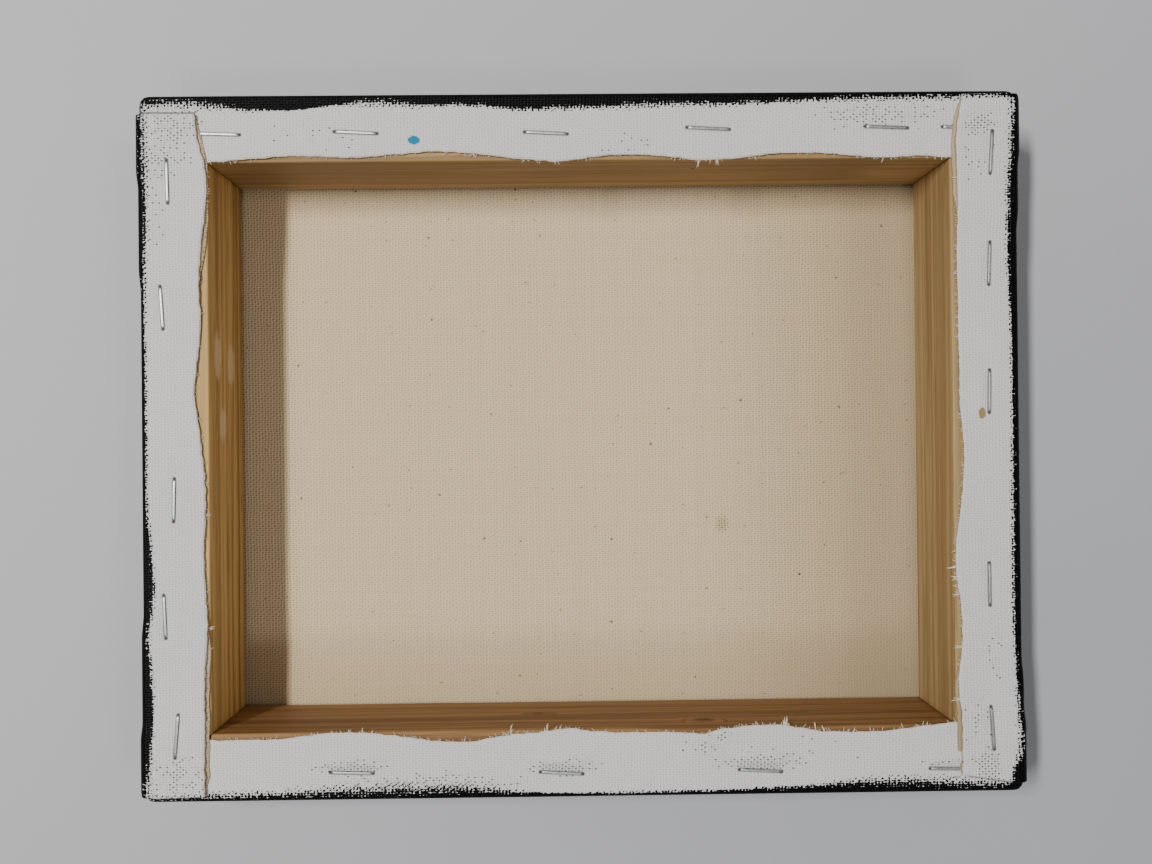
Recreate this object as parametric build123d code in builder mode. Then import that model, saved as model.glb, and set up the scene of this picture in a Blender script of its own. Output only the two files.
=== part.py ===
"""A stretched artist's canvas, 8 x 10 in, on deep stretcher bars, lying face down.

Four mitred softwood bars make the frame. Pressed V-nails hold each mitre. One primed cotton sheet
covers the front, turns up the four sides, is pleated at the corners and is stapled to the back.

Frame: millimetres, origin at the middle of the painting face, which lies on Z = 0. +Z runs out of
the back of the canvas, +X along the long side and +Y along the short side. "Top" is +Y and "right"
is +X, as seen by someone looking at the back.
"""

import os
from math import cos, radians, sin, sqrt

from build123d import *

# ---------------------------------------------------------------- driving dimensions
FRAME_LENGTH = 254.0  # 10 in, over the bars, along X
FRAME_WIDTH = 203.2  # 8 in, over the bars, along Y
BAR_FACE = 19.0  # 3/4 in, the bar's width seen from the back
BAR_DEPTH = 38.0  # 1 1/2 in, front to back
CLOTH = 0.6  # primed cotton duck

# The front of a bar touches the cloth only along an outer lip; the rest is planed away.
LIP_WIDTH = 5.0
BEVEL_DROP = 3.0
FRONT_EASE = 1.0
BACK_EASE = 1.0
INNER_EASE = 0.6

# Turned-over cloth on the back of the bars.
FLAP_WIDTH = 17.4
EDGE_ROUND = 1.5  # over the cloth, along the front and back edges
CORNER_ROUND = 1.6  # over the cloth, at the four upright corners

# Corner pleats: the spare cloth of each corner is tucked under the side cloth. On the upright side
# it fills a triangle, from the front corner to the back edge, where it starts FOLD_INSET from the end
# of the canvas and is PLEAT_TUCK wide. On the back it pads the flap as far as PAD_REACH from the end.
FOLD_INSET = {
    ("top", "left"): 6.0,
    ("top", "right"): 1.6,
    ("bottom", "left"): 2.0,
    ("bottom", "right"): 4.4,
}
PLEAT_TUCK = 34.0
PAD_REACH = 42.0
PLEAT_BULGE = 1.0

# Fine-wire upholstery staple.
STAPLE_CROWN = 12.7
STAPLE_LEG = 8.0
WIRE_THICK = 0.65
WIRE_WIDE = 0.95
STAPLE_SUNK = 0.25  # how deep the crown beds into the cloth
STAPLE_BEND = 0.5

# Pressed V-nail.
V_NAIL_HEIGHT = 10.0
V_NAIL_SHEET = 0.4
V_NAIL_WING = 4.4
V_NAIL_HALF_ANGLE = 57.0
V_NAIL_INSETS = {"outer": 6.0, "inner": 12.5}  # across the bar, from its outer face

# ---------------------------------------------------------------- heights and half sizes
BAR_FRONT_Z = CLOTH
BAR_BACK_Z = CLOTH + BAR_DEPTH
FLAP_TOP_Z = BAR_BACK_Z + CLOTH
HALF_X = FRAME_LENGTH / 2 + CLOTH
HALF_Y = FRAME_WIDTH / 2 + CLOTH
OPENING_X = FRAME_LENGTH - 2 * BAR_FACE
OPENING_Y = FRAME_WIDTH - 2 * BAR_FACE

# ---------------------------------------------------------------- where the staples were fired
# Each one is (x, y, turn in degrees from the edge that it holds).
STAPLES = {
    "top": [
        (-104.5, 90.8, -2.0),
        (-64.8, 91.0, -3.0),
        (-9.7, 90.5, -3.0),
        (37.5, 91.5, -3.0),
        (89.5, 91.5, -2.5),
        (112.0, 91.3, -2.0),
    ],
    "bottom": [
        (-117.5, -91.5, 0.0),
        (-67.6, -94.2, -2.0),
        (-7.0, -95.0, -3.5),
        (50.7, -95.1, -3.5),
        (106.3, -95.3, -1.0),
    ],
    "left": [
        (-119.0, 77.0, 1.0),
        (-121.2, 40.7, 3.5),
        (-118.1, -14.9, -1.5),
        (-121.0, -48.5, 2.5),
        (-117.6, -82.8, -4.5),
    ],
    "right": [
        (119.7, 83.8, -3.5),
        (119.1, 51.6, -2.0),
        (118.7, 14.3, -1.0),
        (118.1, -41.8, 0.5),
        (118.1, -83.4, 3.5),
    ],
}

# ---------------------------------------------------------------- the four sides
# Each side's working plane lies on the bar's outer face at the front of the bar: local x runs along
# the bar, local y points out of the canvas and local z towards the back.
def side_plane(x, y, x_dir):
    """The working plane of the bar whose outer face is at (x, y) and which runs along x_dir."""
    return Plane(origin=(x, y, BAR_FRONT_Z), x_dir=x_dir, z_dir=(0, 0, 1))


SIDES = {
    "top": (side_plane(0, FRAME_WIDTH / 2, (1, 0, 0)), FRAME_LENGTH),
    "bottom": (side_plane(0, -FRAME_WIDTH / 2, (-1, 0, 0)), FRAME_LENGTH),
    "left": (side_plane(-FRAME_LENGTH / 2, 0, (0, 1, 0)), FRAME_WIDTH),
    "right": (side_plane(FRAME_LENGTH / 2, 0, (0, -1, 0)), FRAME_WIDTH),
}
CORNERS = [(end, side) for end in ("top", "bottom") for side in ("left", "right")]
SIGN = {"top": 1, "bottom": -1, "left": -1, "right": 1}


def make_staple(x, y, direction_deg, crown_top_z, label):
    """An upholstery staple: a flat-wire crown and two chisel-pointed legs, driven towards the front."""
    along = (cos(radians(direction_deg)), sin(radians(direction_deg)), 0)
    across = (along[1], -along[0], 0)
    half = STAPLE_CROWN / 2
    inner = half - WIRE_THICK
    foot = -(WIRE_THICK + STAPLE_LEG)
    with BuildPart() as staple:
        with BuildSketch(Plane(origin=(x, y, crown_top_z), x_dir=along, z_dir=across)) as outline:
            with BuildLine():
                Polyline(
                    (-half, 0),
                    (half, 0),
                    (half, foot),
                    (inner, foot + WIRE_THICK),
                    (inner, -WIRE_THICK),
                    (-inner, -WIRE_THICK),
                    (-inner, foot + WIRE_THICK),
                    (-half, foot),
                    close=True,
                )
            make_face()
            fillet(outline.vertices().group_by(Axis.Y)[-1], radius=STAPLE_BEND)
        extrude(amount=WIRE_WIDE / 2, both=True)
    staple.part.label = label
    return staple.part


def make_v_nail(end, side, inset, label):
    """A V of pressed steel strip across one mitre, flush with the back, its point towards the corner."""
    corner = (SIGN[side] * (FRAME_LENGTH / 2 - inset), SIGN[end] * (FRAME_WIDTH / 2 - inset))
    inwards = (-SIGN[side] / sqrt(2), -SIGN[end] / sqrt(2), 0)
    reach = V_NAIL_WING * cos(radians(V_NAIL_HALF_ANGLE))
    spread = V_NAIL_WING * sin(radians(V_NAIL_HALF_ANGLE))
    sheet = V_NAIL_SHEET / sin(radians(V_NAIL_HALF_ANGLE))
    with BuildPart() as v_nail:
        with BuildSketch(Plane(origin=(*corner, BAR_BACK_Z), x_dir=inwards, z_dir=(0, 0, -1))):
            with BuildLine():
                Polyline(
                    (0, 0),
                    (reach, spread),
                    (reach + sheet, spread),
                    (sheet, 0),
                    (reach + sheet, -spread),
                    (reach, -spread),
                    close=True,
                )
            make_face()
        extrude(amount=V_NAIL_HEIGHT)
    v_nail.part.label = label
    return v_nail.part


def make_bar(side, fasteners):
    """A mitred stretcher bar with a lipped front, its pockets cut to the fasteners driven into it."""
    frame, length = SIDES[side]
    start = frame.from_local_coords((-length / 2, 0, 0))
    section_plane = Plane(origin=start, x_dir=frame.y_dir, z_dir=frame.x_dir)
    with BuildPart() as bar:
        with BuildSketch(section_plane) as section:
            with BuildLine():
                Polyline(
                    (0, 0),
                    (0, BAR_DEPTH),
                    (-BAR_FACE, BAR_DEPTH),
                    (-BAR_FACE, BEVEL_DROP),
                    (-LIP_WIDTH, 0),
                    close=True,
                )
            make_face()
            for place, radius in (
                ((0, 0), FRONT_EASE),
                ((0, BAR_DEPTH), BACK_EASE),
                ((-BAR_FACE, BAR_DEPTH), INNER_EASE),
                ((-BAR_FACE, BEVEL_DROP), INNER_EASE),
            ):
                fillet(section.vertices().sort_by_distance(place)[0], radius=radius)
        extrude(amount=length)
        for way in (-1, 1):
            mitre = Plane(
                origin=frame.from_local_coords((way * length / 2, 0, 0)),
                z_dir=way * frame.x_dir - frame.y_dir,
            )
            split(bisect_by=mitre, keep=Keep.BOTTOM)
        for fastener in fasteners:
            add(fastener, mode=Mode.SUBTRACT)
    bar.part.label = f"bar_{side}"
    return bar.part


def make_canvas(bars, fasteners):
    """The cloth: painting face, turned-up sides, stapled flaps and the pleat at each corner."""
    flap_edge_x = FRAME_LENGTH / 2 - FLAP_WIDTH
    flap_edge_y = FRAME_WIDTH / 2 - FLAP_WIDTH
    with BuildPart() as canvas:
        Box(2 * HALF_X, 2 * HALF_Y, FLAP_TOP_Z, align=(Align.CENTER, Align.CENTER, Align.MIN))
        fillet(canvas.edges().filter_by(Axis.Z), radius=CORNER_ROUND)
        fillet(canvas.faces().sort_by(Axis.Z)[-1].edges(), radius=EDGE_ROUND)
        fillet(canvas.faces().sort_by(Axis.Z)[0].edges(), radius=EDGE_ROUND)
        # The room for the bars, the gap behind their bevels and the open back.
        for bar in bars:
            add(bar, mode=Mode.SUBTRACT)
        with BuildSketch(Plane.XY.offset(BAR_FRONT_Z)):
            Rectangle(FRAME_LENGTH - 2 * LIP_WIDTH, FRAME_WIDTH - 2 * LIP_WIDTH)
        extrude(amount=BEVEL_DROP + INNER_EASE, mode=Mode.SUBTRACT)
        with BuildSketch(Plane.XY.offset(BAR_FRONT_Z)):
            Rectangle(OPENING_X + 2 * INNER_EASE, OPENING_Y + 2 * INNER_EASE)
        extrude(amount=BAR_DEPTH, mode=Mode.SUBTRACT)
        with BuildSketch(Plane.XY.offset(BAR_BACK_Z)):
            Rectangle(2 * flap_edge_x, 2 * flap_edge_y)
        extrude(amount=CLOTH, mode=Mode.SUBTRACT)
        for end, side in CORNERS:
            fold_y = FRAME_WIDTH / 2 - FOLD_INSET[end, side]
            # On the back the side flap lies over the tucked cloth, as far as its fold.
            with BuildSketch(Plane.XY.offset(FLAP_TOP_Z)):
                with BuildLine():
                    Polyline(
                        (SIGN[side] * flap_edge_x, SIGN[end] * (HALF_Y - PAD_REACH)),
                        (SIGN[side] * (HALF_X - EDGE_ROUND), SIGN[end] * (HALF_Y - PAD_REACH)),
                        (SIGN[side] * (HALF_X - EDGE_ROUND), SIGN[end] * fold_y),
                        (SIGN[side] * flap_edge_x, SIGN[end] * fold_y),
                        close=True,
                    )
                make_face()
            extrude(amount=PLEAT_BULGE)
            # On the upright side the fold runs from the front corner to the back edge.
            upright = Plane(origin=(SIGN[side] * HALF_X, 0, 0), x_dir=(0, 1, 0), z_dir=(1, 0, 0))
            with BuildSketch(upright):
                with BuildLine():
                    Polyline(
                        (SIGN[end] * (FRAME_WIDTH / 2 - CORNER_ROUND), EDGE_ROUND),
                        (SIGN[end] * fold_y, FLAP_TOP_Z - EDGE_ROUND),
                        (SIGN[end] * (fold_y - PLEAT_TUCK), FLAP_TOP_Z - EDGE_ROUND),
                        close=True,
                    )
                make_face()
            extrude(amount=SIGN[side] * PLEAT_BULGE)
        for fastener in fasteners:
            add(fastener, mode=Mode.SUBTRACT)
    canvas.part.label = "canvas_sheet"
    return canvas.part


# ---------------------------------------------------------------- fasteners first, then what they hold
staples = {}
for side, shots in STAPLES.items():
    for number, (x, y, turn) in enumerate(shots, start=1):
        on_end = side in ("top", "bottom")
        direction = turn if on_end else 90 + turn
        over_pad = not on_end and abs(y) > HALF_Y - PAD_REACH
        cloth_top = FLAP_TOP_Z + (PLEAT_BULGE if over_pad else 0)
        crown_top = cloth_top + WIRE_THICK - STAPLE_SUNK
        name = f"staple_{side}_{number}"
        staples[name] = make_staple(x, y, direction, crown_top, name)

v_nails = {}
for end, side in CORNERS:
    for place, inset in V_NAIL_INSETS.items():
        name = f"v_nail_{end}_{side}_{place}"
        v_nails[name] = make_v_nail(end, side, inset, name)

fasteners = [*staples.values(), *v_nails.values()]
bars = {f"bar_{side}": make_bar(side, fasteners) for side in SIDES}
canvas_sheet = make_canvas(bars.values(), fasteners)

os.makedirs("parts", exist_ok=True)
for piece in [*bars.values(), canvas_sheet, *staples.values(), *v_nails.values()]:
    export_step(piece, f"parts/{piece.label}.step")
    print(piece.label, len(piece.solids()), "solid,", round(piece.volume, 1), "mm3")
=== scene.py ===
# %% [markdown]
# # A stretched canvas, seen from behind
#
# The real object is one sheet of primed cotton pulled over four mitred pine bars and stapled down at the
# back. The structure comes in as a fixed frame. Everything below dresses that frame: planed bars,
# draped and pleated cloth, frayed cut edges, staples, and their finishes.

# %% Load the frame
from functools import partial, reduce

import bmesh
import bpy
import numpy as np
from mathutils import Euler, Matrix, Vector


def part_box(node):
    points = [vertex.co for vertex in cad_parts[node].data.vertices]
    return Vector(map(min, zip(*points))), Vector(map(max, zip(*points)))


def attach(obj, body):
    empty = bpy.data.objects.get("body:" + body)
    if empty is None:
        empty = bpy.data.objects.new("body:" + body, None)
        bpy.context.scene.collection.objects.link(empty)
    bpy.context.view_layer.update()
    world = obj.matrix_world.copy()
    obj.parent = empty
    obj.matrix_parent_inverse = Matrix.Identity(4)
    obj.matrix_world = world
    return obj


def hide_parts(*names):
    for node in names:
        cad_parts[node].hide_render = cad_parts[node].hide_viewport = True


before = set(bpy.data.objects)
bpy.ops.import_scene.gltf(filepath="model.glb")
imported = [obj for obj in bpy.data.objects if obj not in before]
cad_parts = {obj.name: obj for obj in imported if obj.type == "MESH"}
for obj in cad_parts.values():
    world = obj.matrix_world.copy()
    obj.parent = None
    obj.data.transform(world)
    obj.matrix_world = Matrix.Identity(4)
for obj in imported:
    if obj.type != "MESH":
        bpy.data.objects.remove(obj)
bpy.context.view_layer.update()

# %% [markdown]
# Every size below comes from the frame, so the looks can't drift away from the structure. The shapes
# are worked out in millimetres, because that is how a framer measures, and turned into metres only
# when a mesh is filled.

# %% Sizes taken from the frame
MM = 0.001
BARS = ("top", "bottom", "left", "right")


def box_mm(node):
    """Lowest and highest corner of a node, in millimetres."""
    low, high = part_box(node)
    return np.array(low) / MM, np.array(high) / MM


bar_box = {side: box_mm(f"bar_{side}") for side in BARS}
BAR_X = bar_box["right"][1][0]  # outer faces of the bars
BAR_Y = bar_box["top"][1][1]
BAR_FRONT, BAR_BACK = bar_box["top"][0][2], bar_box["top"][1][2]
BAR_FACE = bar_box["right"][1][0] - bar_box["right"][0][0]
CLOTH = BAR_FRONT  # the cloth's thickness lies under the bars
HALF_X, HALF_Y = BAR_X + CLOTH, BAR_Y + CLOTH
TOP = BAR_BACK + CLOTH  # the outer surface of one layer of cloth on the back
END_SIGN = {"top": 1, "bottom": -1}
SIDE_SIGN = {"left": -1, "right": 1}
print(f"bars {2 * BAR_X:.1f} x {2 * BAR_Y:.1f} mm, {BAR_BACK - BAR_FRONT:.1f} deep, face {BAR_FACE:.1f}")

# %% [markdown]
# ## Stage
#
# The canvas lies face down on a pale table. The floor is a plain square, big enough to reach the horizon
# in a low view, and it gets its paint in the last step.

# %% Floor
FLOOR_HALF = 6.0
FLOOR_DROP = 0.0002  # the floor lies a hair under the painting face


def stand(name, data, place=(0, 0, 0), turn=(0, 0, 0)):
    """An object in the scene that carries a mesh, a lamp or the camera."""
    made = bpy.data.objects.new(name, data)
    made.location = place
    made.rotation_euler = Euler(turn)
    bpy.context.scene.collection.objects.link(made)
    return made


def make_floor():
    """A flat square just under the painting face."""
    mesh = bpy.data.meshes.new("floor")
    corners = np.array([(-1, -1), (1, -1), (1, 1), (-1, 1)]) * FLOOR_HALF
    mesh.from_pydata([(x, y, -FLOOR_DROP) for x, y in corners], [], [(0, 1, 2, 3)])
    floor = stand("floor", mesh)
    return floor


floor = make_floor()
print("floor side, m:", 2 * FLOOR_HALF)

# %% [markdown]
# One main lamp stands up on the left, with two weak fill lamps and a low sky. The main lamp is a tube. It
# throws the narrow shadow that the left bar leaves on the cloth inside the frame: the tube is narrow that
# way, so the edge is fairly crisp, and long the other way, so the ends of the shadows fade. A sun would
# give every edge the same softness.

# %% Lamps
TUBE_PLACE = (-0.595, 0.24, 1.43)
WARM_WHITE = (1.0, 0.985, 0.96)


def make_sun(name, strength, softness, lean_x, lean_y, colour=(1, 1, 1)):
    """A sun that leans lean_x and lean_y degrees off the vertical: positive comes from the right or top."""
    lamp = bpy.data.lights.new(name, "SUN")
    lamp.energy = strength
    lamp.angle = np.radians(softness)
    lamp.color = colour
    stand(name, lamp, turn=(np.radians(-lean_y), np.radians(lean_x), 0))


def make_tube_lamp(place, power, width, length, colour):
    """A lamp like a ceiling tube, aimed at the canvas: narrow from left to right, long the other way."""
    lamp = bpy.data.lights.new("lamp_left", "AREA")
    lamp.shape = "RECTANGLE"
    lamp.energy = power
    lamp.size, lamp.size_y = width, length
    lamp.color = colour
    x, y, z = place
    stand("lamp_left", lamp, place, (-np.arctan2(y, np.hypot(x, z)), np.arctan2(x, z), 0))


def make_room(colour, strength):
    """An even, faint light from all around."""
    world = bpy.data.worlds.new("room")
    world.use_nodes = True
    sky = world.node_tree.nodes["Background"].inputs
    sky["Color"].default_value = colour
    sky["Strength"].default_value = strength
    bpy.context.scene.world = world


make_tube_lamp(TUBE_PLACE, power=23.5, width=0.085, length=0.38, colour=WARM_WHITE)
make_sun("lamp_near", 0.32, 9, 3, -28)
make_sun("lamp_right", 0.26, 9, 30, 2, (1.0, 0.93, 0.82))
make_room((0.93, 0.94, 0.97, 1), 0.21)
print("lamps:", [lamp.name for lamp in bpy.data.lights])

# %% [markdown]
# The camera looks almost straight down at the back of the canvas, from so near that all four inner walls
# show. The small turns are those of a camera held by hand.

# %% Camera
CAMERA_PLACE = (-0.0057, 0.0021, 0.3676)
CAMERA_TURN = (0.0048, -0.0116, -0.0102)
LENS = 35.4


def make_camera():
    """A wide-angle camera a forearm's length above the back of the canvas."""
    lens = bpy.data.cameras.new("camera")
    lens.lens, lens.sensor_width = LENS, 36.0
    lens.clip_start, lens.clip_end = 0.01, 10.0
    bpy.context.scene.camera = stand("camera", lens, CAMERA_PLACE, CAMERA_TURN)


make_camera()
print("camera height, m:", CAMERA_PLACE[2])

# %% [markdown]
# ## Small tools
#
# A shape here is a grid: one array of points with rows and columns. A helper numbers the quads of a
# grid, and another stacks several grids into one mesh and stitches the rims that coincide.

# %% Curves and ramps
def ease(share):
    """0 below 0, 1 above 1, and a smooth S between: 3 s squared minus 2 s cubed."""
    s = np.clip(share, 0, 1)
    return s * s * (3 - 2 * s)


def flowing(knots, where):
    """A smooth curve through given (position, value) knots: a cubic on each span, with the mean
    slope of the two neighbouring spans at each knot."""
    x, y = np.array(sorted(knots), float).T
    slope = np.gradient(y, x)
    where = np.clip(where, x[0], x[-1])
    i = np.clip(np.searchsorted(x, where) - 1, 0, len(x) - 2)
    wide = x[i + 1] - x[i]
    t = (where - x[i]) / wide
    rise = (y[i + 1] - y[i]) * t * t * (3 - 2 * t)
    lean = wide * (slope[i] * t * (1 - t) ** 2 - slope[i + 1] * t * t * (1 - t))
    return y[i] + rise + lean


def ripple(along, across, wave, seed, terms=6):
    """An uneven swell between -1 and 1: a few sine waves of about the same length, in random
    directions and phases."""
    rng = np.random.default_rng(seed)
    turn = rng.uniform(0, np.pi, terms)
    phase = rng.uniform(0, 2 * np.pi, terms)
    k = 2 * np.pi / wave * rng.uniform(0.6, 1.5, terms)
    path = along[..., None] * np.cos(turn) + across[..., None] * np.sin(turn)
    return np.sin(k * path + phase).sum(-1) / terms


print("ease of a half:", ease(0.5))

# %% [markdown]
# A mesh is filled from whole arrays of points and quads. Quads have to be numbered so that their normals
# point outwards, and one look at a middle quad tells whether the grid has to be turned over.

# %% Grids and meshes
def grid_quads(rows, columns):
    """The corner numbers of a grid's quads, row by row."""
    i, j = np.meshgrid(np.arange(rows - 1), np.arange(columns - 1), indexing="ij")
    a = i * columns + j
    return np.stack([a, a + 1, a + columns + 1, a + columns], -1).reshape(-1, 4)


def looks_out(points, quad, outwards):
    """Whether a quad's normal, the cross product of its diagonals, agrees with a direction."""
    a, b, c, d = points[quad]
    return np.cross(c - a, d - b) @ outwards > 0


def facing(quads, points, outwards):
    """The quads, turned over if the grid's middle quad looks against the outward direction there."""
    mid = quads[len(quads) // 2]
    return quads if looks_out(points, mid, outwards[mid[0]]) else quads[:, ::-1]


print("quads of a 3 by 3 grid:", len(grid_quads(3, 3)))

# %% [markdown]
# Patches that share a rim are stitched by distance, and a section that is carried along a path becomes a
# tube, with a flat cap at either end.

# %% Meshes and tubes
def make_object(name, mesh, materials):
    """Links the mesh at the origin, riding on the frame, with its finishes."""
    piece = stand(name, mesh)
    for finish in materials:
        mesh.materials.append(finish)
    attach(piece, "root")
    return piece


def fill_mesh(name, points, faces, weld=0.0005):
    """A smooth-shaded mesh from points in millimetres, with coinciding points stitched together."""
    mesh = bpy.data.meshes.new(name)
    mesh.from_pydata(np.asarray(points) * MM, [], faces)
    if weld:
        stitch(mesh, weld)
    mesh.shade_smooth()
    return mesh


def stitch(mesh, distance):
    """Merges points that lie within distance millimetres of each other, and drops what collapses."""
    shape = bmesh.new()
    shape.from_mesh(mesh)
    bmesh.ops.remove_doubles(shape, verts=shape.verts, dist=distance * MM)
    bmesh.ops.dissolve_degenerate(shape, edges=shape.edges, dist=distance * MM)
    shape.to_mesh(mesh)
    shape.free()


def tube(path, ring, frame_side, frame_up):
    """Carries a closed ring of (side, up) offsets along a path. Rings are stacked as grid rows, and the
    first column is repeated at the end so that the tube closes when it is stitched."""
    ring = np.vstack([ring, ring[:1]])
    return path[:, None] + ring[None, :, :1] * frame_side[:, None] + ring[None, :, 1:] * frame_up[:, None]


def close_tube(points, outwards):
    """Points and faces of a tube's grid: its quads turned outwards, and a flat cap at either end."""
    rows, columns = points.shape[:2]
    flat = points.reshape(-1, 3)
    quads = grid_quads(rows, columns)
    turned = facing(quads, flat, outwards.reshape(-1, 3))
    first = np.arange(columns - 1)
    last = first + (rows - 1) * columns
    caps = (first[::-1], last) if turned is quads else (first, last[::-1])
    return flat, [*turned.tolist(), *(cap.tolist() for cap in caps)]


print("mesh tools ready")

# %% [markdown]
# ## Shader tools
#
# Node trees are wired by short helpers: `math` places one Math node and returns its output, `put` feeds
# a socket with either a number or another node's output.

# %% Wiring helpers
def put(tree, socket, value):
    """Feeds a socket with a constant or with another node's output."""
    if isinstance(value, bpy.types.NodeSocket):
        tree.links.new(value, socket)
    else:
        socket.default_value = value


def add(tree, kind, settings=None, **feeds):
    """Places a node, sets its properties and feeds the inputs named in feeds (spaces as underscores)."""
    made = tree.nodes.new("ShaderNode" + kind)
    for key, value in (settings or {}).items():
        setattr(made, key, value)
    for key, value in feeds.items():
        put(tree, made.inputs[key.replace("_", " ")], value)
    return made


def math(tree, operation, *values):
    """One Math node, its output."""
    made = add(tree, "Math", {"operation": operation})
    for socket, value in zip(made.inputs, values):
        put(tree, socket, value)
    return made.outputs[0]


print("wiring ready")

# %% [markdown]
# `plus`, `times` and their like read almost as the sum would on paper, and each takes numbers and outputs
# alike.

# %% Arithmetic with sockets
def plus(tree, *values):
    """The sum of all values."""
    return reduce(partial(math, tree, "ADD"), values)


def times(tree, *values):
    """The product of all values."""
    return reduce(partial(math, tree, "MULTIPLY"), values)


def minus(tree, value, taken):
    """What is left of a value when another is taken from it."""
    return math(tree, "SUBTRACT", value, taken)


def over(tree, value, divisor):
    """A value divided by another."""
    return math(tree, "DIVIDE", value, divisor)


def opposite(tree, mask):
    """1 where a mask is 0, and 0 where it is 1."""
    return minus(tree, 1.0, mask)


def scaled(tree, value, factor, start):
    """start plus factor times the value."""
    return math(tree, "MULTIPLY_ADD", value, factor, start)


def diagonal(tree, a, b):
    """The square root of a squared plus b squared."""
    return math(tree, "SQRT", plus(tree, times(tree, a, a), times(tree, b, b)))


print("arithmetic ready")

# %% [markdown]
# Colours are laid over each other as a painter does it: a base first, then each layer through a mask that
# is soft at its edge.

# %% Blending, masks and textures
def blend(tree, factor, low, high, kind="RGBA"):
    """A Mix node between two colours (or numbers, with kind FLOAT), its output."""
    made = add(tree, "Mix", {"data_type": kind})
    sockets = {"RGBA": (0, 6, 7, 2), "FLOAT": (0, 2, 3, 0)}[kind]
    for number, value in zip(sockets[:3], (factor, low, high)):
        put(tree, made.inputs[number], value)
    return made.outputs[sockets[3]]


def layer(tree, colour, mask, strength, above):
    """A colour laid over another where a mask shows it, at most as strong as strength."""
    return blend(tree, times(tree, mask, strength), colour, above)


def ramp(tree, value, low, high):
    """0 at low, 1 at high, eased between."""
    made = add(tree, "MapRange", {"interpolation_type": "SMOOTHSTEP"})
    for socket, v in zip(made.inputs, (value, low, high, 0.0, 1.0)):
        put(tree, socket, v)
    return made.outputs[0]


def noise(tree, vector, scale, detail=2.0, rough=0.5):
    """A Noise texture's value between 0 and 1, at scale features per metre."""
    made = add(tree, "TexNoise", {"noise_dimensions": "3D"}, Vector=vector, Scale=scale)
    made.inputs["Detail"].default_value = detail
    made.inputs["Roughness"].default_value = rough
    return made.outputs[0]


def sway(tree, vector, scale, detail=2.0, rough=0.5):
    """A Noise texture's value, shifted to lie between -0.5 and 0.5."""
    return minus(tree, noise(tree, vector, scale, detail, rough), 0.5)


def chance(tree, **feeds):
    """A random number between 0 and 1 that stays the same for the same number or pair of numbers."""
    kind = "1D" if "W" in feeds else "2D"
    return add(tree, "TexWhiteNoise", {"noise_dimensions": kind}, **feeds).outputs["Value"]


print("textures ready")

# %% [markdown]
# A pattern needs to know where it is. Wood reads the place on the object, cloth reads its place on the
# flat sheet, and marks beside staples and folds read values that the mesh carries.

# %% Coordinates
def own_place(tree):
    """The place on the object itself, in metres."""
    return add(tree, "TexCoord").outputs["Object"]


def flat_cloth(tree):
    """The place on the sheet as it lay flat, from the cloth's UV map."""
    return add(tree, "UVMap", {"uv_map": "cloth"}).outputs[0]


def carried(tree, name, kind="Fac"):
    """A value that the mesh carries for each of its points."""
    return add(tree, "Attribute", {"attribute_name": name}).outputs[kind]


def split_xyz(tree, vector):
    """The three parts of a vector."""
    return add(tree, "SeparateXYZ", Vector=vector).outputs


def join_xyz(tree, x, y, z=0.0):
    """A vector from three parts."""
    made = add(tree, "CombineXYZ")
    for socket, value in zip(made.inputs, (x, y, z)):
        put(tree, socket, value)
    return made.outputs[0]


print("coordinates ready")

# %% [markdown]
# An effect that several finishes share goes into a group with named sockets, so it is built once and fed
# with other values in each finish.

# %% Groups and finishes
def new_group(name, inputs, outputs):
    """An empty shader group with named sockets: its tree, its inputs and its output node."""
    tree = bpy.data.node_groups.new(name, "ShaderNodeTree")
    for label, kind, default in inputs:
        socket = tree.interface.new_socket(label, in_out="INPUT", socket_type="NodeSocket" + kind)
        if default is not None:
            socket.default_value = default
    for label, kind in outputs:
        tree.interface.new_socket(label, in_out="OUTPUT", socket_type="NodeSocket" + kind)
    return tree, tree.nodes.new("NodeGroupInput").outputs, tree.nodes.new("NodeGroupOutput").inputs


def use_group(tree, group, **feeds):
    """Places a shader group with its inputs fed, and returns its outputs."""
    return add(tree, "Group", {"node_tree": group}, **feeds).outputs


def new_finish(name):
    """A material with one Principled shader: the material, its tree and the shader's inputs."""
    finish = bpy.data.materials.new(name)
    finish.use_nodes = True
    shader = finish.node_tree.nodes["Principled BSDF"]
    return finish, finish.node_tree, shader.inputs


def bump(tree, height, strength, distance_mm):
    """A Bump node's normal, for a height of 0 to 1 that stands for distance_mm."""
    made = add(tree, "Bump", Height=height)
    made.inputs["Strength"].default_value = strength
    made.inputs["Distance"].default_value = distance_mm * MM
    return made.outputs[0]


print("groups and finishes ready")

# %% [markdown]
# ## Shared effects
#
# **Plain weave.** Cotton duck is a plain weave: each warp thread goes over one weft thread and under the
# next. Each thread has a round section, the sine of its place in its pitch, and it rises where it is on
# top and dips where it is below. The higher of the two threads shows. The warp crimps more than the
# weft, so its humps stand higher, in staggered rows. Between four threads there is a small pit, every
# other one deep, and a random number for each pit lets dirt or paint sit in some of them only.

# %% Plain weave group
WANDER_SCALE = 190.0
WANDER_REACH = 4.0  # threads, for a wander of 1


def thread_place(tree, distance, pitch, wander_at, wander):
    """Distance counted in threads, with a slow sideways wander: whole numbers lie between two threads."""
    aside = times(tree, sway(tree, wander_at, WANDER_SCALE), wander, WANDER_REACH)
    return plus(tree, over(tree, distance, pitch), aside)


def round_thread(tree, count):
    """The round top of a thread: the size of the sine of pi times the count."""
    return math(tree, "ABSOLUTE", math(tree, "SINE", times(tree, count, np.pi)))


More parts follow.
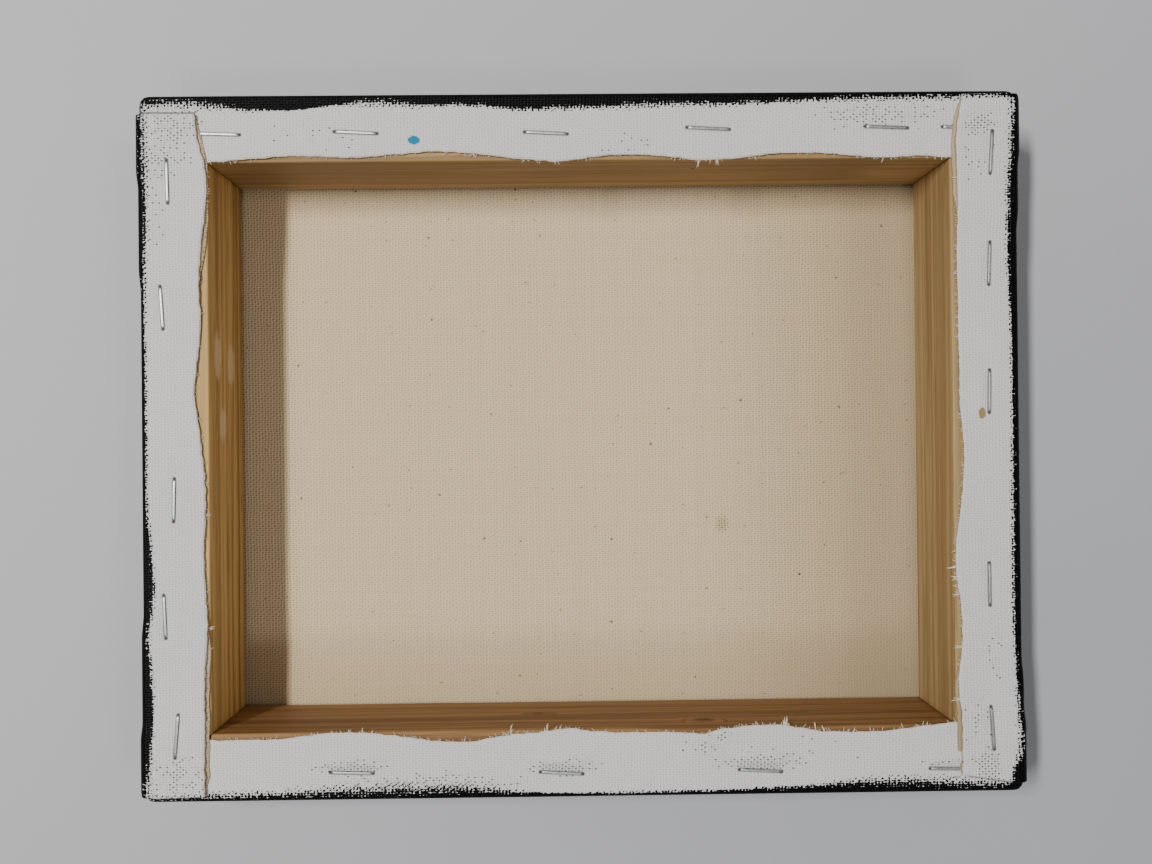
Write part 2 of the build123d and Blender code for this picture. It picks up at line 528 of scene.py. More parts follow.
def make_weave_group():
    """Height of a plain weave, a random tone for each thread, and the pits between threads."""
    tree, given, out = new_group(
        "plain_weave",
        [
            ("Vector", "Vector", None),
            ("Warp Pitch", "Float", 0.00097),
            ("Weft Pitch", "Float", 0.00071),
            ("Wander", "Float", 0.25),
        ],
        [("Height", "Float"), ("Thread Tone", "Float"), ("Pit", "Float"), ("Pit Chance", "Float")],
    )
    x, y, _ = split_xyz(tree, given["Vector"])
    u = thread_place(tree, x, given["Warp Pitch"], given["Vector"], given["Wander"])
    v = thread_place(tree, y, given["Weft Pitch"], join_xyz(tree, y, x, 7.0), given["Wander"])
    number_u, number_v = math(tree, "FLOOR", u), math(tree, "FLOOR", v)
    parity = math(tree, "FLOORED_MODULO", plus(tree, number_u, number_v), 2.0)
    sign = minus(tree, times(tree, parity, 2.0), 1.0)
    round_u, round_v = round_thread(tree, u), round_thread(tree, v)
    rise_u = scaled(tree, times(tree, sign, round_v), 0.45, 0.55)
    rise_v = scaled(tree, times(tree, sign, round_u), -0.30, 0.45)
    warp = times(tree, math(tree, "POWER", round_u, 0.6), rise_u)
    weft = times(tree, math(tree, "POWER", round_v, 0.6), rise_v)
    put(tree, out["Height"], math(tree, "MAXIMUM", warp, weft))

    nearest_u, nearest_v = math(tree, "ROUND", u), math(tree, "ROUND", v)
    off = diagonal(tree, minus(tree, u, nearest_u), minus(tree, v, nearest_v))
    stagger = math(tree, "FLOORED_MODULO", plus(tree, nearest_u, nearest_v), 2.0)
    deep = scaled(tree, stagger, -0.7, 1.0)
    put(tree, out["Pit"], times(tree, deep, opposite(tree, ramp(tree, off, 0.20, 0.46))))
    put(tree, out["Pit Chance"], chance(tree, Vector=join_xyz(tree, nearest_u, nearest_v)))

    warp_tone, weft_tone = chance(tree, W=number_u), chance(tree, W=plus(tree, number_v, 0.37))
    on_top = math(tree, "GREATER_THAN", warp, weft)
    put(tree, out["Thread Tone"], blend(tree, on_top, weft_tone, warp_tone, "FLOAT"))
    return tree


weave_group = make_weave_group()
print("weave sockets:", [s.name for s in weave_group.interface.items_tree])

# %% [markdown]
# **Rubbed patch.** Glue smears on the bars, paint drops, husk marks and a pin hole are all one thing: a
# soft ellipse with a broken edge. One group draws it, and each spot has its own place and size.

# %% Patch group
def vector_math(tree, operation, *values):
    """One Vector Math node."""
    made = add(tree, "VectorMath", {"operation": operation})
    for socket, value in zip(made.inputs, values):
        put(tree, socket, value)
    return made


def make_patch_group():
    """1 inside an ellipse, 0 outside, with an uneven edge."""
    tree, given, out = new_group(
        "patch",
        [
            ("Vector", "Vector", None),
            ("Centre", "Vector", (0, 0, 0)),
            ("Half Size", "Vector", (1, 1, 1)),
            ("Softness", "Float", 0.3),
            ("Grain Scale", "Float", 900.0),
        ],
        [("Mask", "Float")],
    )
    away = vector_math(tree, "SUBTRACT", given["Vector"], given["Centre"]).outputs[0]
    shared = vector_math(tree, "DIVIDE", away, given["Half Size"]).outputs[0]
    length = vector_math(tree, "LENGTH", shared).outputs["Value"]
    distance = plus(tree, length, sway(tree, given["Vector"], given["Grain Scale"], 3.0))
    inner = minus(tree, 1.0, given["Softness"])
    outer = plus(tree, 1.0, given["Softness"])
    put(tree, out["Mask"], opposite(tree, ramp(tree, distance, inner, outer)))
    return tree


def spot(tree, place, centre_mm, half_mm, softness=0.3, grain=900.0):
    """One patch of the patch group at a place given in millimetres."""
    feeds = {
        "Vector": place,
        "Centre": [v * MM for v in centre_mm],
        "Half_Size": [v * MM for v in half_mm],
        "Softness": softness,
        "Grain_Scale": grain,
    }
    return use_group(tree, patch_group, **feeds)["Mask"]


patch_group = make_patch_group()
print("patch group ready")

# %% [markdown]
# **Pine.** The bars are sawn along the grain, so the year rings show as long lines on every face. The
# group measures each point's distance from a heart line that lies beside the bar, bends it a little
# along the length, and turns the distance into pale early wood and thin dark late wood.

# %% Pine group
def make_pine_group():
    """Grain lines, fine fibre streaks and broad tone of a bar whose length is the vector's X."""
    tree, given, out = new_group(
        "pine_grain",
        [
            ("Vector", "Vector", None),
            ("Heart", "Vector", (0, 0.03, -0.02)),
            ("Ring Width", "Float", 0.0024),
            ("Bend", "Float", 0.0016),
            ("Knot", "Float", 0.0),
        ],
        [("Late Wood", "Float"), ("Fibre", "Float"), ("Tone", "Float")],
    )
    x, y, z = split_xyz(tree, given["Vector"])

    def drawn_out(share):
        """The place with its length cut to a share, which draws a texture out along the grain."""
        return join_xyz(tree, times(tree, x, share), y, z)

    _, heart_y, heart_z = split_xyz(tree, given["Heart"])
    reach = diagonal(tree, minus(tree, y, heart_y), minus(tree, z, heart_z))
    swell = times(tree, sway(tree, drawn_out(0.09), 45.0), given["Bend"], 4.0)
    reach = plus(tree, reach, swell, given["Knot"])
    season = sway(tree, join_xyz(tree, times(tree, x, 0.02), reach), 210.0, 1.0)
    rings = scaled(tree, season, 2.2, over(tree, reach, given["Ring Width"]))
    share = math(tree, "FRACT", rings)
    late = times(tree, ramp(tree, share, 0.35, 0.86), opposite(tree, ramp(tree, share, 0.9, 1.0)))
    uneven = chance(tree, W=math(tree, "FLOOR", rings))
    put(tree, out["Late Wood"], times(tree, late, scaled(tree, uneven, 0.75, 0.3)))
    coarse = noise(tree, drawn_out(0.012), 480.0)
    fine = noise(tree, drawn_out(0.03), 1500.0, 3.0, 0.6)
    put(tree, out["Fibre"], scaled(tree, coarse, 0.5, times(tree, fine, 0.5)))
    put(tree, out["Tone"], noise(tree, drawn_out(0.09), 60.0, 3.0, 0.55))
    return tree


pine_group = make_pine_group()
print("pine group ready")

# %% [markdown]
# ## Pine bars
#
# On a real frame the four upright corners are sanded round before the cloth goes on, so that it doesn't
# wear through. Bars and cloth are both drawn as sharp boxes first and then moved by one shared function,
# so that the rounded cloth still lies on the rounded wood.

# %% Rounded upright corners
CORNER = 3.4  # side of the square, seen from above, in which a corner is drawn in
CORNER_PULL = 0.62  # 1 would make a full quarter circle, 0 leaves the corner sharp


def round_corners(points):
    """Draws the four upright corners in, seen from above. In the square of side CORNER at each corner,
    a point's step from the square's inner corner is shortened towards the one that a circle would
    allow: full at the two edges, about a fifth less on the diagonal."""
    half = np.array([HALF_X, HALF_Y]) - CORNER
    core = np.clip(points[..., :2], -half, half)
    step = points[..., :2] - core
    size = np.abs(step)
    ratio = size.max(-1, keepdims=True) / np.maximum(np.linalg.norm(step, axis=-1, keepdims=True), 1e-9)
    shorter = np.where(size.min(-1, keepdims=True) > 0, 1 - CORNER_PULL * (1 - ratio), 1.0)
    return np.concatenate([core + step * shorter, points[..., 2:]], -1)


print("corner square seen from above, mm:", CORNER)

# %% [markdown]
# The four bars share one section: a flat back, an upright inner wall, and a front that slopes away from
# a narrow lip. The arrises are eased by arcs, which take only a few points each.

# %% The bar's section
LIP, SLOPE = 5.0, 3.0
EDGE_STEP = 3.0  # spacing of the points on the flats between the arcs


def arc_corner(before, corner, after, radius, steps=5):
    """Points of the arc that eases a corner: it touches both edges radius / tan(half the turn) away."""
    a, b = before - corner, after - corner
    a, b = a / np.linalg.norm(a), b / np.linalg.norm(b)
    half = np.arccos(a @ b) / 2
    centre = corner + (a + b) / np.linalg.norm(a + b) * radius / np.sin(half)
    start, end = corner + a * radius / np.tan(half), corner + b * radius / np.tan(half)
    t = np.linspace(0, 1, steps)[:, None]
    chord = start * (1 - t) + end * t - centre
    return centre + chord / np.linalg.norm(chord, axis=1)[:, None] * radius


def bar_section():
    """Closed outline of (inwards, up) points: inwards runs from the bar's outer face to its inner one."""
    corners = np.array([
        (0, BAR_FRONT), (LIP, BAR_FRONT), (BAR_FACE, BAR_FRONT + SLOPE), (BAR_FACE, BAR_BACK), (0, BAR_BACK)
    ])
    radii = (1.0, 0.4, 0.6, 0.55, 1.0)
    parts = []
    for i, radius in enumerate(radii):
        corner, following = corners[i], corners[(i + 1) % len(corners)]
        arc = arc_corner(corners[i - 1], corner, following, radius)
        steps = max(2, int(np.linalg.norm(following - corner) / EDGE_STEP))
        share = np.linspace(0.06, 0.94, steps)[:, None]
        stop = following + (arc[-1] - following) * 0.08
        parts += [arc, arc[-1] * (1 - share) + stop * share]
    return np.vstack(parts)


section = bar_section()
print("bar section points:", len(section))

# %% [markdown]
# The section is carried along the bar and cut back at 45 degrees at both ends, with a hair's breadth left
# open at each mitre. A sawn edge is never quite sharp, so the last ring at each end is drawn in a little.

# %% Carry the section along each bar
MITRE_GAP = 0.10
SAWN_EDGE = 0.12  # how far the last ring is drawn in
BAR_RINGS = 91
PLANING = 0.06  # height of the slow waves that a plane leaves on the inner wall


def bar_mesh(side):
    """The section swept along the bar. Half-length shrinks by one millimetre for each millimetre
    inwards, which is the mitre; the last ring is drawn in a little, to ease the sawn edge."""
    on_end = side in END_SIGN
    sign = END_SIGN.get(side) or SIDE_SIGN[side]
    half_length, outer = (BAR_X, BAR_Y) if on_end else (BAR_Y, BAR_X)
    share = np.concatenate([[-1], np.linspace(-0.9985, 0.9985, BAR_RINGS), [1]])
    inwards, up = (np.tile(section[:, k], (len(share), 1)) for k in (0, 1))
    middle = section.mean(0)
    for end in (0, -1):
        inwards[end] += np.sign(middle[0] - inwards[end]) * SAWN_EDGE
        up[end] += np.sign(middle[1] - up[end]) * SAWN_EDGE
    along = share[:, None] * (half_length - inwards - MITRE_GAP)
    worn = ripple(along, up, 40.0, 11 + len(side)) * PLANING
    across = sign * (outer - inwards - worn * (inwards > BAR_FACE - 1.0))
    points = np.stack([along, across, up] if on_end else [across, along, up], -1)
    points = round_corners(np.concatenate([points, points[:, :1]], 1))
    centre = np.array([0, sign * (outer - middle[0]), middle[1]])
    if not on_end:
        centre = centre[[1, 0, 2]]
    outwards = points - centre
    outwards[..., 0 if on_end else 1] = 0
    return close_tube(points, outwards)


print("bar half-length at the inner wall, mm:", round(BAR_X - BAR_FACE - MITRE_GAP, 2))

# %% [markdown]
# One pine finish is made four times, because no two bars come from the same board: each has its own
# heart line, ring width and tone. The left bar has three pale glue smears, the top one a pin hole and
# the bottom one two small knots that push the rings aside.

# %% Boards and their marks
BOARDS = {
    "left": dict(heart=(0, -0.004, 0.09), ring=0.0030, bend=0.0010, streak=0.75,
                 pale=(0.69, 0.465, 0.172), dark=(0.25, 0.122, 0.03)),
    "right": dict(heart=(0, 0.02, 0.11), ring=0.0040, bend=0.0008, streak=0.75,
                  pale=(0.465, 0.33, 0.145), dark=(0.24, 0.145, 0.055)),
    "top": dict(heart=(0, 0.16, 0.03), ring=0.0065, bend=0.0022, streak=0.7,
                pale=(0.495, 0.325, 0.134), dark=(0.21, 0.115, 0.04)),
    "bottom": dict(heart=(0, 0.01, -0.05), ring=0.0040, bend=0.0016, streak=0.8,
                   pale=(0.345, 0.19, 0.066), dark=(0.15, 0.065, 0.02)),
}
# Each mark is its centre and its half sizes, in millimetres along X, Y and Z
SMEARS = [
    ((-108.0, 27.5, 30.0), (3.0, 6.5, 3.2)),
    ((-108.0, 25.5, 16.5), (3.0, 6.0, 3.4)),
    ((-108.0, 7.0, 25.0), (3.0, 4.6, 3.0)),
]
PIN_HOLE = ((34.2, 82.6, 27.6), (0.55, 2.0, 0.5))
KNOT_PUSH = 0.006  # metres by which a knot pushes the rings aside
KNOTS = [((35.3, -82.6, 29.0), (5.0, 3.0, 2.6)), ((-14.0, -82.6, 19.0), (4.0, 3.0, 1.6))]
RESIN = [((108.0, 17.0, 24.0), (3.0, 5.0, 0.30)), ((108.0, -7.0, 27.0), (3.0, 3.4, 0.28))]
DRIED_GLUE = (0.72, 0.60, 0.42, 1)
DARK_HOLE = (0.03, 0.016, 0.008, 1)
KNOT_HEART = (0.07, 0.025, 0.01, 1)
RESIN_BROWN = (0.22, 0.10, 0.03, 1)
print("boards:", list(BOARDS))

# %% [markdown]
# The marks are laid over the planed wood one by one, through the patch group, and the knots also bend the
# rings, because the tree grew round them.

# %% Pine finish
def bar_marks(tree, side, place, colour):
    """The bar's colour with its own marks: glue smears, a pin hole, knots or streaks of resin."""
    if side == "left":
        for smear in SMEARS:
            mask = spot(tree, place, *smear, softness=0.35, grain=500.0)
            colour = layer(tree, colour, mask, 0.6, DRIED_GLUE)
    if side == "top":
        colour = blend(tree, spot(tree, place, *PIN_HOLE), colour, DARK_HOLE)
    if side == "bottom":
        for centre, half in KNOTS:
            mask = spot(tree, place, centre, [v * 0.5 for v in half], softness=0.5)
            colour = layer(tree, colour, mask, 0.85, KNOT_HEART)
    if side == "right":
        for streak in RESIN:
            mask = spot(tree, place, *streak, softness=0.4, grain=300.0)
            colour = layer(tree, colour, mask, 0.8, RESIN_BROWN)
    return colour


def make_pine(side):
    """Planed pine: rings and fibres for colour, a faint relief, and the marks that this bar carries."""
    board = BOARDS[side]
    pale, dark = (*board["pale"], 1), (*board["dark"], 1)
    finish, tree, shader = new_finish(f"pine_{side}")
    place = own_place(tree)
    x, y, z = split_xyz(tree, place)
    lengthwise = join_xyz(tree, x, y, z) if side in END_SIGN else join_xyz(tree, y, x, z)
    knot = 0.0
    if side == "bottom":
        masks = [spot(tree, place, *k, softness=0.9, grain=60.0) for k in KNOTS]
        knot = times(tree, plus(tree, *masks), KNOT_PUSH)
    feeds = {"Heart": board["heart"], "Ring_Width": board["ring"], "Bend": board["bend"], "Knot": knot}
    grain = use_group(tree, pine_group, Vector=lengthwise, **feeds)
    tone = blend(tree, 0.50, blend(tree, grain["Tone"], dark, pale), pale)
    colour = blend(tree, grain["Late Wood"], tone, dark)
    colour = layer(tree, colour, ramp(tree, grain["Fibre"], 0.48, 0.60), board["streak"], dark)
    put(tree, shader["Base Color"], bar_marks(tree, side, place, colour))
    put(tree, shader["Roughness"], scaled(tree, grain["Fibre"], 0.25, 0.5))
    relief = plus(tree, times(tree, grain["Late Wood"], 0.5), grain["Fibre"])
    put(tree, shader["Normal"], bump(tree, relief, 0.5, 0.10))
    shader["Specular IOR Level"].default_value = 0.35
    return finish


print("marks:", len(SMEARS) + len(KNOTS) + len(RESIN) + 1)

# %% [markdown]
# Each new bar takes the place of its plain one from the frame.

# %% Make the bars
for side in BARS:
    name = f"stretcher_{side}"
    bar = make_object(name, fill_mesh(name, *bar_mesh(side)), [make_pine(side)])
    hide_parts(f"bar_{side}")
    print(bar.name, "faces:", len(bar.data.polygons))

# %% [markdown]
# ## The cloth
#
# The sheet starts as a sharp box: painting face below, four upright sides, and four flaps lying on the
# back. `soften` then rounds it. It finds the nearest point of a slightly smaller box and steps out from
# there by the rounding radius, so flat parts stay where they are and every edge and corner becomes an
# arc. A lift, added to that step, raises or presses the cloth along its own outward direction, and that
# is how pleats, puckers and dents are made.

# %% Rounding the cloth over the bars
ROUND = 1.5
BEND = np.tan(np.linspace(0, np.pi / 4, 5))  # steps that become equal angles once rounded


def soften(points, lift=0.0):
    """Nearest point of the box that is ROUND smaller, plus (ROUND + lift) along the way out from it."""
    inner_low = np.array([-HALF_X + ROUND, -HALF_Y + ROUND, ROUND])
    inner_high = np.array([HALF_X - ROUND, HALF_Y - ROUND, TOP - ROUND])
    core = np.clip(points, inner_low, inner_high)
    away = points - core
    outwards = away / np.linalg.norm(away, axis=-1, keepdims=True)
    return round_corners(core + outwards * (ROUND + np.asarray(lift)[..., None])), outwards


def evenly(half, step):
    """Positions from -half to half: even, with a few more where the cloth bends at both ends."""
    reach = half - ROUND
    ends = reach + ROUND * BEND[1:]
    middle = np.linspace(-reach, reach, 2 * round(reach / step) + 1)
    return np.concatenate([-ends[::-1], middle, ends])


STEP = 1.25
FLAP_ROWS = 18
columns_x, columns_y = evenly(HALF_X, STEP), evenly(HALF_Y, STEP)
flat_wall = np.linspace(ROUND, TOP - ROUND, 9)[1:-1]
wall_z = np.concatenate([ROUND * (1 - BEND[::-1]), flat_wall, TOP - ROUND + ROUND * BEND])
flap_bend = np.concatenate([ROUND * (1 - BEND[::-1])[1:], np.full(FLAP_ROWS, ROUND)])
flap_share = np.concatenate([np.zeros(4), np.linspace(0, 1, FLAP_ROWS + 1)[1:]])
print("columns:", len(columns_x), len(columns_y), " rows:", len(wall_z) + len(flap_bend))

# %% [markdown]
# The flaps were cut by hand, so their edges wander. For each side a few knots say how much of the bar's
# back shows beside the cut, and the same is done for how far the black paint of the edges came round
# onto the back. Both curves run through their knots smoothly.

# %% Hand-cut flap edges and the reach of the paint
# (position along the side, millimetres of bare wood beside the cut edge)
BARE_WOOD = {
    "top": [
        (-128, 0.2), (-107, 0.1), (-95, 0.9), (-79, 1.7), (-65, 1.0), (-54, 1.9), (-44, 2.6), (-33, 2.2),
        (-14, 0.0), (-6, -0.4), (8, 1.2), (20, 1.2), (35, -0.3), (42, -0.2), (59, 1.5), (70, 1.4),
        (89, 0.0), (99, 0.4), (108, 0.0), (128, 0.0),
    ],
    "bottom": [
        (-128, 1.4), (-99, 1.6), (-87, 1.4), (-78, 0.3), (-69, -0.1), (-60, 0.3), (-51, 1.5), (-44, 2.5),
        (-31, 2.6), (-25, 1.5), (-14, 0.5), (-5, -0.5), (3, 0.4), (25, 0.9), (35, 1.3), (39, 0.4),
        (49, -0.7), (56, -0.8), (67, 0.9), (76, 1.5), (86, 1.4), (96, 0.3), (107, -0.8), (128, -0.8),
    ],
    "left": [
        (-102, 1.7), (-85, 1.4), (-69, 1.5), (-51, 0.6), (-43, 1.0), (-31, 1.5), (-19, 1.0), (-12, 0.9),
        (0, 2.0), (9, 3.1), (14, 3.8), (26, 2.9), (34, 2.0), (47, 2.2), (57, 1.7), (67, 0.4), (81, 0.1),
        (88, 1.9), (96, 2.9), (102, 3.0),
    ],
    "right": [
        (-102, 1.1), (-95, 1.1), (-79, 1.1), (-69, 0.4), (-59, 1.7), (-48, 1.6), (-39, 0.3), (-33, 0.1),
        (-20, 1.6), (-6, 2.8), (1, 2.6), (11, 1.9), (27, 1.8), (48, 1.5), (77, 1.7), (88, 1.3), (96, 2.3),
        (102, 3.4),
    ],
}
# (position along the side, millimetres of paint on the back)
PAINT_REACH = {
    "top": [
        (-128, 3.0), (-115, 2.4), (-105, 3.4), (-95, 4.3), (-80, 4.3), (-70, 3.0), (-60, 2.4), (-48, 3.2),
        (-28, 3.4), (-17, 4.8), (-8, 4.4), (5, 4.2), (20, 3.4), (45, 3.4), (60, 2.8), (75, 2.2), (105, 1.9),
        (120, 1.9), (128, 2.6),
    ],
    "bottom": [
        (-128, 1.0), (-118, 1.5), (-107, 1.7), (-90, 1.9), (-70, 2.7), (-50, 2.9), (-32, 2.8), (-20, 1.7),
        (-10, 1.3), (5, 1.1), (25, 1.3), (45, 1.6), (65, 2.4), (85, 3.4), (105, 2.9), (120, 2.3),
        (128, 2.8),
    ],
    "left": [
        (-102, 0.9), (-94, 1.7), (-85, 2.7), (-62, 2.4), (-55, 1.8), (-45, 3.0), (-30, 2.8), (-20, 1.7),
        (0, 1.5), (20, 1.4), (50, 1.4), (66, 2.0), (85, 1.8), (96, 1.2), (102, 0.4),
    ],
    "right": [
        (-102, 3.4), (-96, 3.6), (-91, 1.4), (-80, 1.5), (-60, 2.3), (-30, 2.4), (0, 2.2), (30, 2.3),
        (55, 3.0), (75, 2.8), (90, 1.8), (102, 1.2),
    ],
}
# (position along the side, how broken the paint's edge is: 0 crisp, 1 dragged with a dry brush)
DRY_BRUSH = {
    "top": [
        (-128, 0.9), (-108, 1.0), (-98, 0.5), (-92, 0.15), (-70, 0.2), (-60, 0.7), (-40, 0.35), (-10, 0.4),
        (20, 0.6), (60, 0.4), (90, 0.7), (128, 0.5),
    ],
    "bottom": [
        (-128, 0.9), (-105, 0.8), (-84, 0.9), (-70, 1.1), (-35, 1.0), (-22, 0.6), (-15, 0.1), (10, 0.25),
        (45, 0.2), (70, 0.5), (84, 1.0), (112, 1.0), (128, 0.4),
    ],
    "left": [
        (-102, 0.9), (-85, 0.3), (-50, 0.5), (-30, 0.4), (0, 0.2), (30, 0.3), (60, 0.5), (70, 0.35),
        (80, 0.9), (102, 0.9),
    ],
    "right": [
        (-102, 0.2), (-90, 0.7), (-70, 0.4), (-30, 0.5), (0, 0.4), (40, 0.3), (70, 0.6), (102, 0.8),
    ],
}
print("knots of the flap edges:", {side: len(knots) for side, knots in BARE_WOOD.items()})

# %% [markdown]
# Scissors leave small steps where they cross a thread, so a fine ripple is added to the smooth cut. The
# paint's border is measured as a distance that each point carries, and the finish breaks it up later.

# %% Width of the flaps and distance to the paint's border
def cut_width(side, along):
    """How far the flap reaches in from the outer edge: the bar's face less the bare wood, with the small
    steps that scissors leave between threads."""
    straight = 0 * along
    snips = 0.22 * ripple(along, straight, 5.5, 40 + len(side)) + 0.16 * ripple(along, straight, 2.7, 50)
    return CLOTH + BAR_FACE - flowing(BARE_WOOD[side], along) + snips


def paint_edge(points):
    """Millimetres from a point to the paint's edge, positive where it is painted, and how broken the
    edge is there. The nearest side's band counts; the upright sides are painted all over."""
    x, y, z = points[..., 0], points[..., 1], points[..., 2]
    along = {"top": x, "bottom": x, "left": y, "right": y}
    outwards = {"top": HALF_Y - y, "bottom": HALF_Y + y, "left": HALF_X + x, "right": HALF_X - x}
    bands = np.array([flowing(PAINT_REACH[side], along[side]) - outwards[side] for side in BARS])
    dry = np.array([flowing(DRY_BRUSH[side], along[side]) for side in BARS])
    first = bands.argmax(0)[None]
    band, broken = np.take_along_axis(bands, first, 0)[0], np.take_along_axis(dry, first, 0)[0]
    upright = 30.0 * ease((TOP - z - 0.4) / 1.2) - 20.0
    return np.maximum(band, upright), broken


print("the top flap's width varies by, mm:", np.round(np.ptp(cut_width("top", columns_x)), 2))

# %% [markdown]
# Staples pull the cloth down. Each staple's place and direction are read from its node in the frame: the
# middle of its box, and the direction in which its points spread most. Near the wire the cloth is
# pressed to just under the crown, and the cloth beside it, on the inner side, stands up in a pucker.

# %% Where the staples are
def read_staple(node):
    """Crown middle, unit direction along the crown and crown height, from a staple's node."""
    low, high = box_mm(node)
    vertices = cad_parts[node].data.vertices
    co = np.empty(3 * len(vertices))
    vertices.foreach_get("co", co)
    flat = co.reshape(-1, 3)[:, :2] / MM
    middle = (low + high)[:2] / 2
    spread = np.linalg.svd(flat - middle, full_matrices=False)[2][0]
    return middle, spread * np.sign(spread[np.argmax(np.abs(spread))]), high[2]


staple_nodes = sorted(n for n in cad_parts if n.startswith("staple_"))
staples = {node: read_staple(node) for node in staple_nodes}
CROWN_HALF = 6.35
WIRE = (0.80, 0.62)  # wide, thick
PRESS_WIDTH = 1.1
PUCKER_OFF, PUCKER_WIDTH = 3.4, 2.3  # the pucker's distance from the wire, and its width
PUCKER = {"top": 0.20, "bottom": 0.95, "left": 0.16, "right": 0.16}
print("staples:", len(staples), " crown heights, mm:", sorted({round(s[2], 2) for s in staples.values()}))

# %% [markdown]
# Between the staples nothing holds the cloth down. The flaps swell a little and curl up at the cut, and
# the upright sides stand off the wood in long, low waves.

# %% How the cloth lies at its staples, and where it is slack
WALL_SLACK = 0.24
CURL = 0.32  # rise of a flap's cut edge


def press_at_staples(side, points, lift):
    """The lift, with the cloth of one side pressed under each of its crowns and raised in a pucker on
    the crown's inner side. The press fades as a bell curve 1.1 mm wide across the wire and ends with the
    crown. The pucker is a wider bell about 3 mm inwards."""
    flat = points[..., :2]
    on_back = ease((points[..., 2] - TOP + 0.5) / 0.4)
    for node, (middle, direction, crown_top) in staples.items():
        if side not in node:
            continue
        across = np.array([-direction[1], direction[0]])
        if across @ middle > 0:
            across = -across  # across now points to the middle of the canvas
        away = flat - middle
        c, d = away @ direction, away @ across
        within = ease((CROWN_HALF + 1.0 - np.abs(c)) / 1.2)
        pucker = PUCKER[side] * np.exp(-(((d - PUCKER_OFF) / PUCKER_WIDTH) ** 2) - (c / 7.2) ** 4)
        lift = lift + on_back * pucker * (1 + 0.12 * np.cos(2.3 * c))
        target = crown_top - WIRE[1] + 0.10 - TOP
        press = on_back * within * np.exp(-((d / PRESS_WIDTH) ** 2))
        lift = lift * (1 - press) + target * press
    return lift


def free_lift(points, share, seed):
    """Slack of a flap between its staples: broad swells, and a cut edge that curls up a little."""
    x, y = points[..., 0], points[..., 1]
    swell = 0.10 * ripple(x, y, 34.0, seed) + 0.05 * ripple(x, y, 11.0, seed + 1)
    curl = CURL * share**3 * (1 + 0.8 * ripple(x, y, 22.0, seed + 2))
    return ease(share * 3) * (swell + 0.1) + curl


def wall_swell(along, up, from_end, seed):
    """Slack of the cloth on an upright side: up to half a millimetre outwards in long uneven waves,
    fading to nothing at the front, at the back edge and near the corners."""
    fade = ease(up / 10) * ease((TOP - up) / 6) * ease((from_end - 4) / 14)
    return WALL_SLACK * fade * (1 + ripple(along, 0.5 * up, 46.0, seed))


print("puckers, mm:", PUCKER)

# %% [markdown]
# **Painting face and end strips.** The face is a coarser grid, because it is nearly flat. Its rim cells
# take in the middle point of each finer edge that the strips bring, so nothing gapes. The strips for
# the top and bottom sides go from the face up the side and over onto the back.

# %% Painting face
FACE_SLACK = 0.12  # deepest hollow of the drum-tight face
UNMARKED = 9.0  # paint margin well inside the paint, or fold gap far from any fold
FAR_OFF = 99.0  # place beside a staple, for points with no staple near


def as_patch(points, faces, cloth, margin=UNMARKED, dry=0.0, near=FAR_OFF, fold=UNMARKED):
    """One patch of the sheet: points, faces, flat place, and the values that its finish reads. A single
    number stands for all points."""
    flat = points.reshape(-1, 3)
    single = {"margin": margin, "dry": dry, "fold": fold}
    values = {key: np.broadcast_to(np.ravel(value), len(flat)) for key, value in single.items()}
    near = np.broadcast_to(np.reshape(near, (-1, 3)) if np.ndim(near) else near, flat.shape)
    return dict(points=flat, faces=faces, cloth=cloth.reshape(-1, 2), near=near, **values)


def face_patch():
    """The face on every other column and row. Each cell's ring has room for a middle point on all four
    edges, and only the rim cells fill it."""
    x, y = np.meshgrid(columns_x[::2], columns_y[::2])
    coarse = np.stack([x, y, np.zeros_like(x)], -1)
    rows, cols = x.shape
    number = np.arange(rows * cols).reshape(rows, cols)
    mid_x = np.stack([columns_x[1::2], np.full(cols - 1, -HALF_Y), np.zeros(cols - 1)], -1)
    mid_y = np.stack([np.full(rows - 1, -HALF_X), columns_y[1::2], np.zeros(rows - 1)], -1)
    rims = [mid_x, mid_x * (1, -1, 1), mid_y, mid_y * (-1, 1, 1)]
    near, far, left, right = rows * cols + np.cumsum([0, cols - 1, cols - 1, rows - 1])
    i, j = np.indices((rows - 1, cols - 1))
    rings = np.stack([
        number[:-1, :-1], np.where(i == 0, near + j, -1),
        number[:-1, 1:], np.where(j == cols - 2, right + i, -1),
        number[1:, 1:], np.where(i == rows - 2, far + j, -1),
        number[1:, :-1], np.where(j == 0, left + i, -1),
    ], -1).reshape(-1, 8)[:, ::-1]
    faces = [ring[ring >= 0].tolist() for ring in rings]
    sharp = np.vstack([coarse.reshape(-1, 3), *rims])
    waves = (1 + ripple(sharp[:, 0], sharp[:, 1], 70.0, 5)) / 2
    slack = -FACE_SLACK * ease((BAR_X - 8 - np.abs(sharp[:, 0])) / 40) * waves
    points, _ = soften(sharp, slack)
    return as_patch(points, faces, sharp[:, :2])


print("face columns and rows:", len(columns_x[::2]), len(columns_y[::2]))

# %% [markdown]
# The strips for the four sides share their rows. A side flap covers the end flaps at each corner, so it
# is drawn in to a fold there, and how far each fold stands in from the corner differs, as the hand that
# folded them did.

# %% Folds, layers and rows
# Distance of each fold from the top or bottom edge, where it meets the side edge and at the cut edge
FOLD_INSET = {
    ("top", "left"): (6.0, 6.2), ("top", "right"): (1.5, 2.0),
    ("bottom", "left"): (2.0, 2.4), ("bottom", "right"): (3.2, 5.8),
}
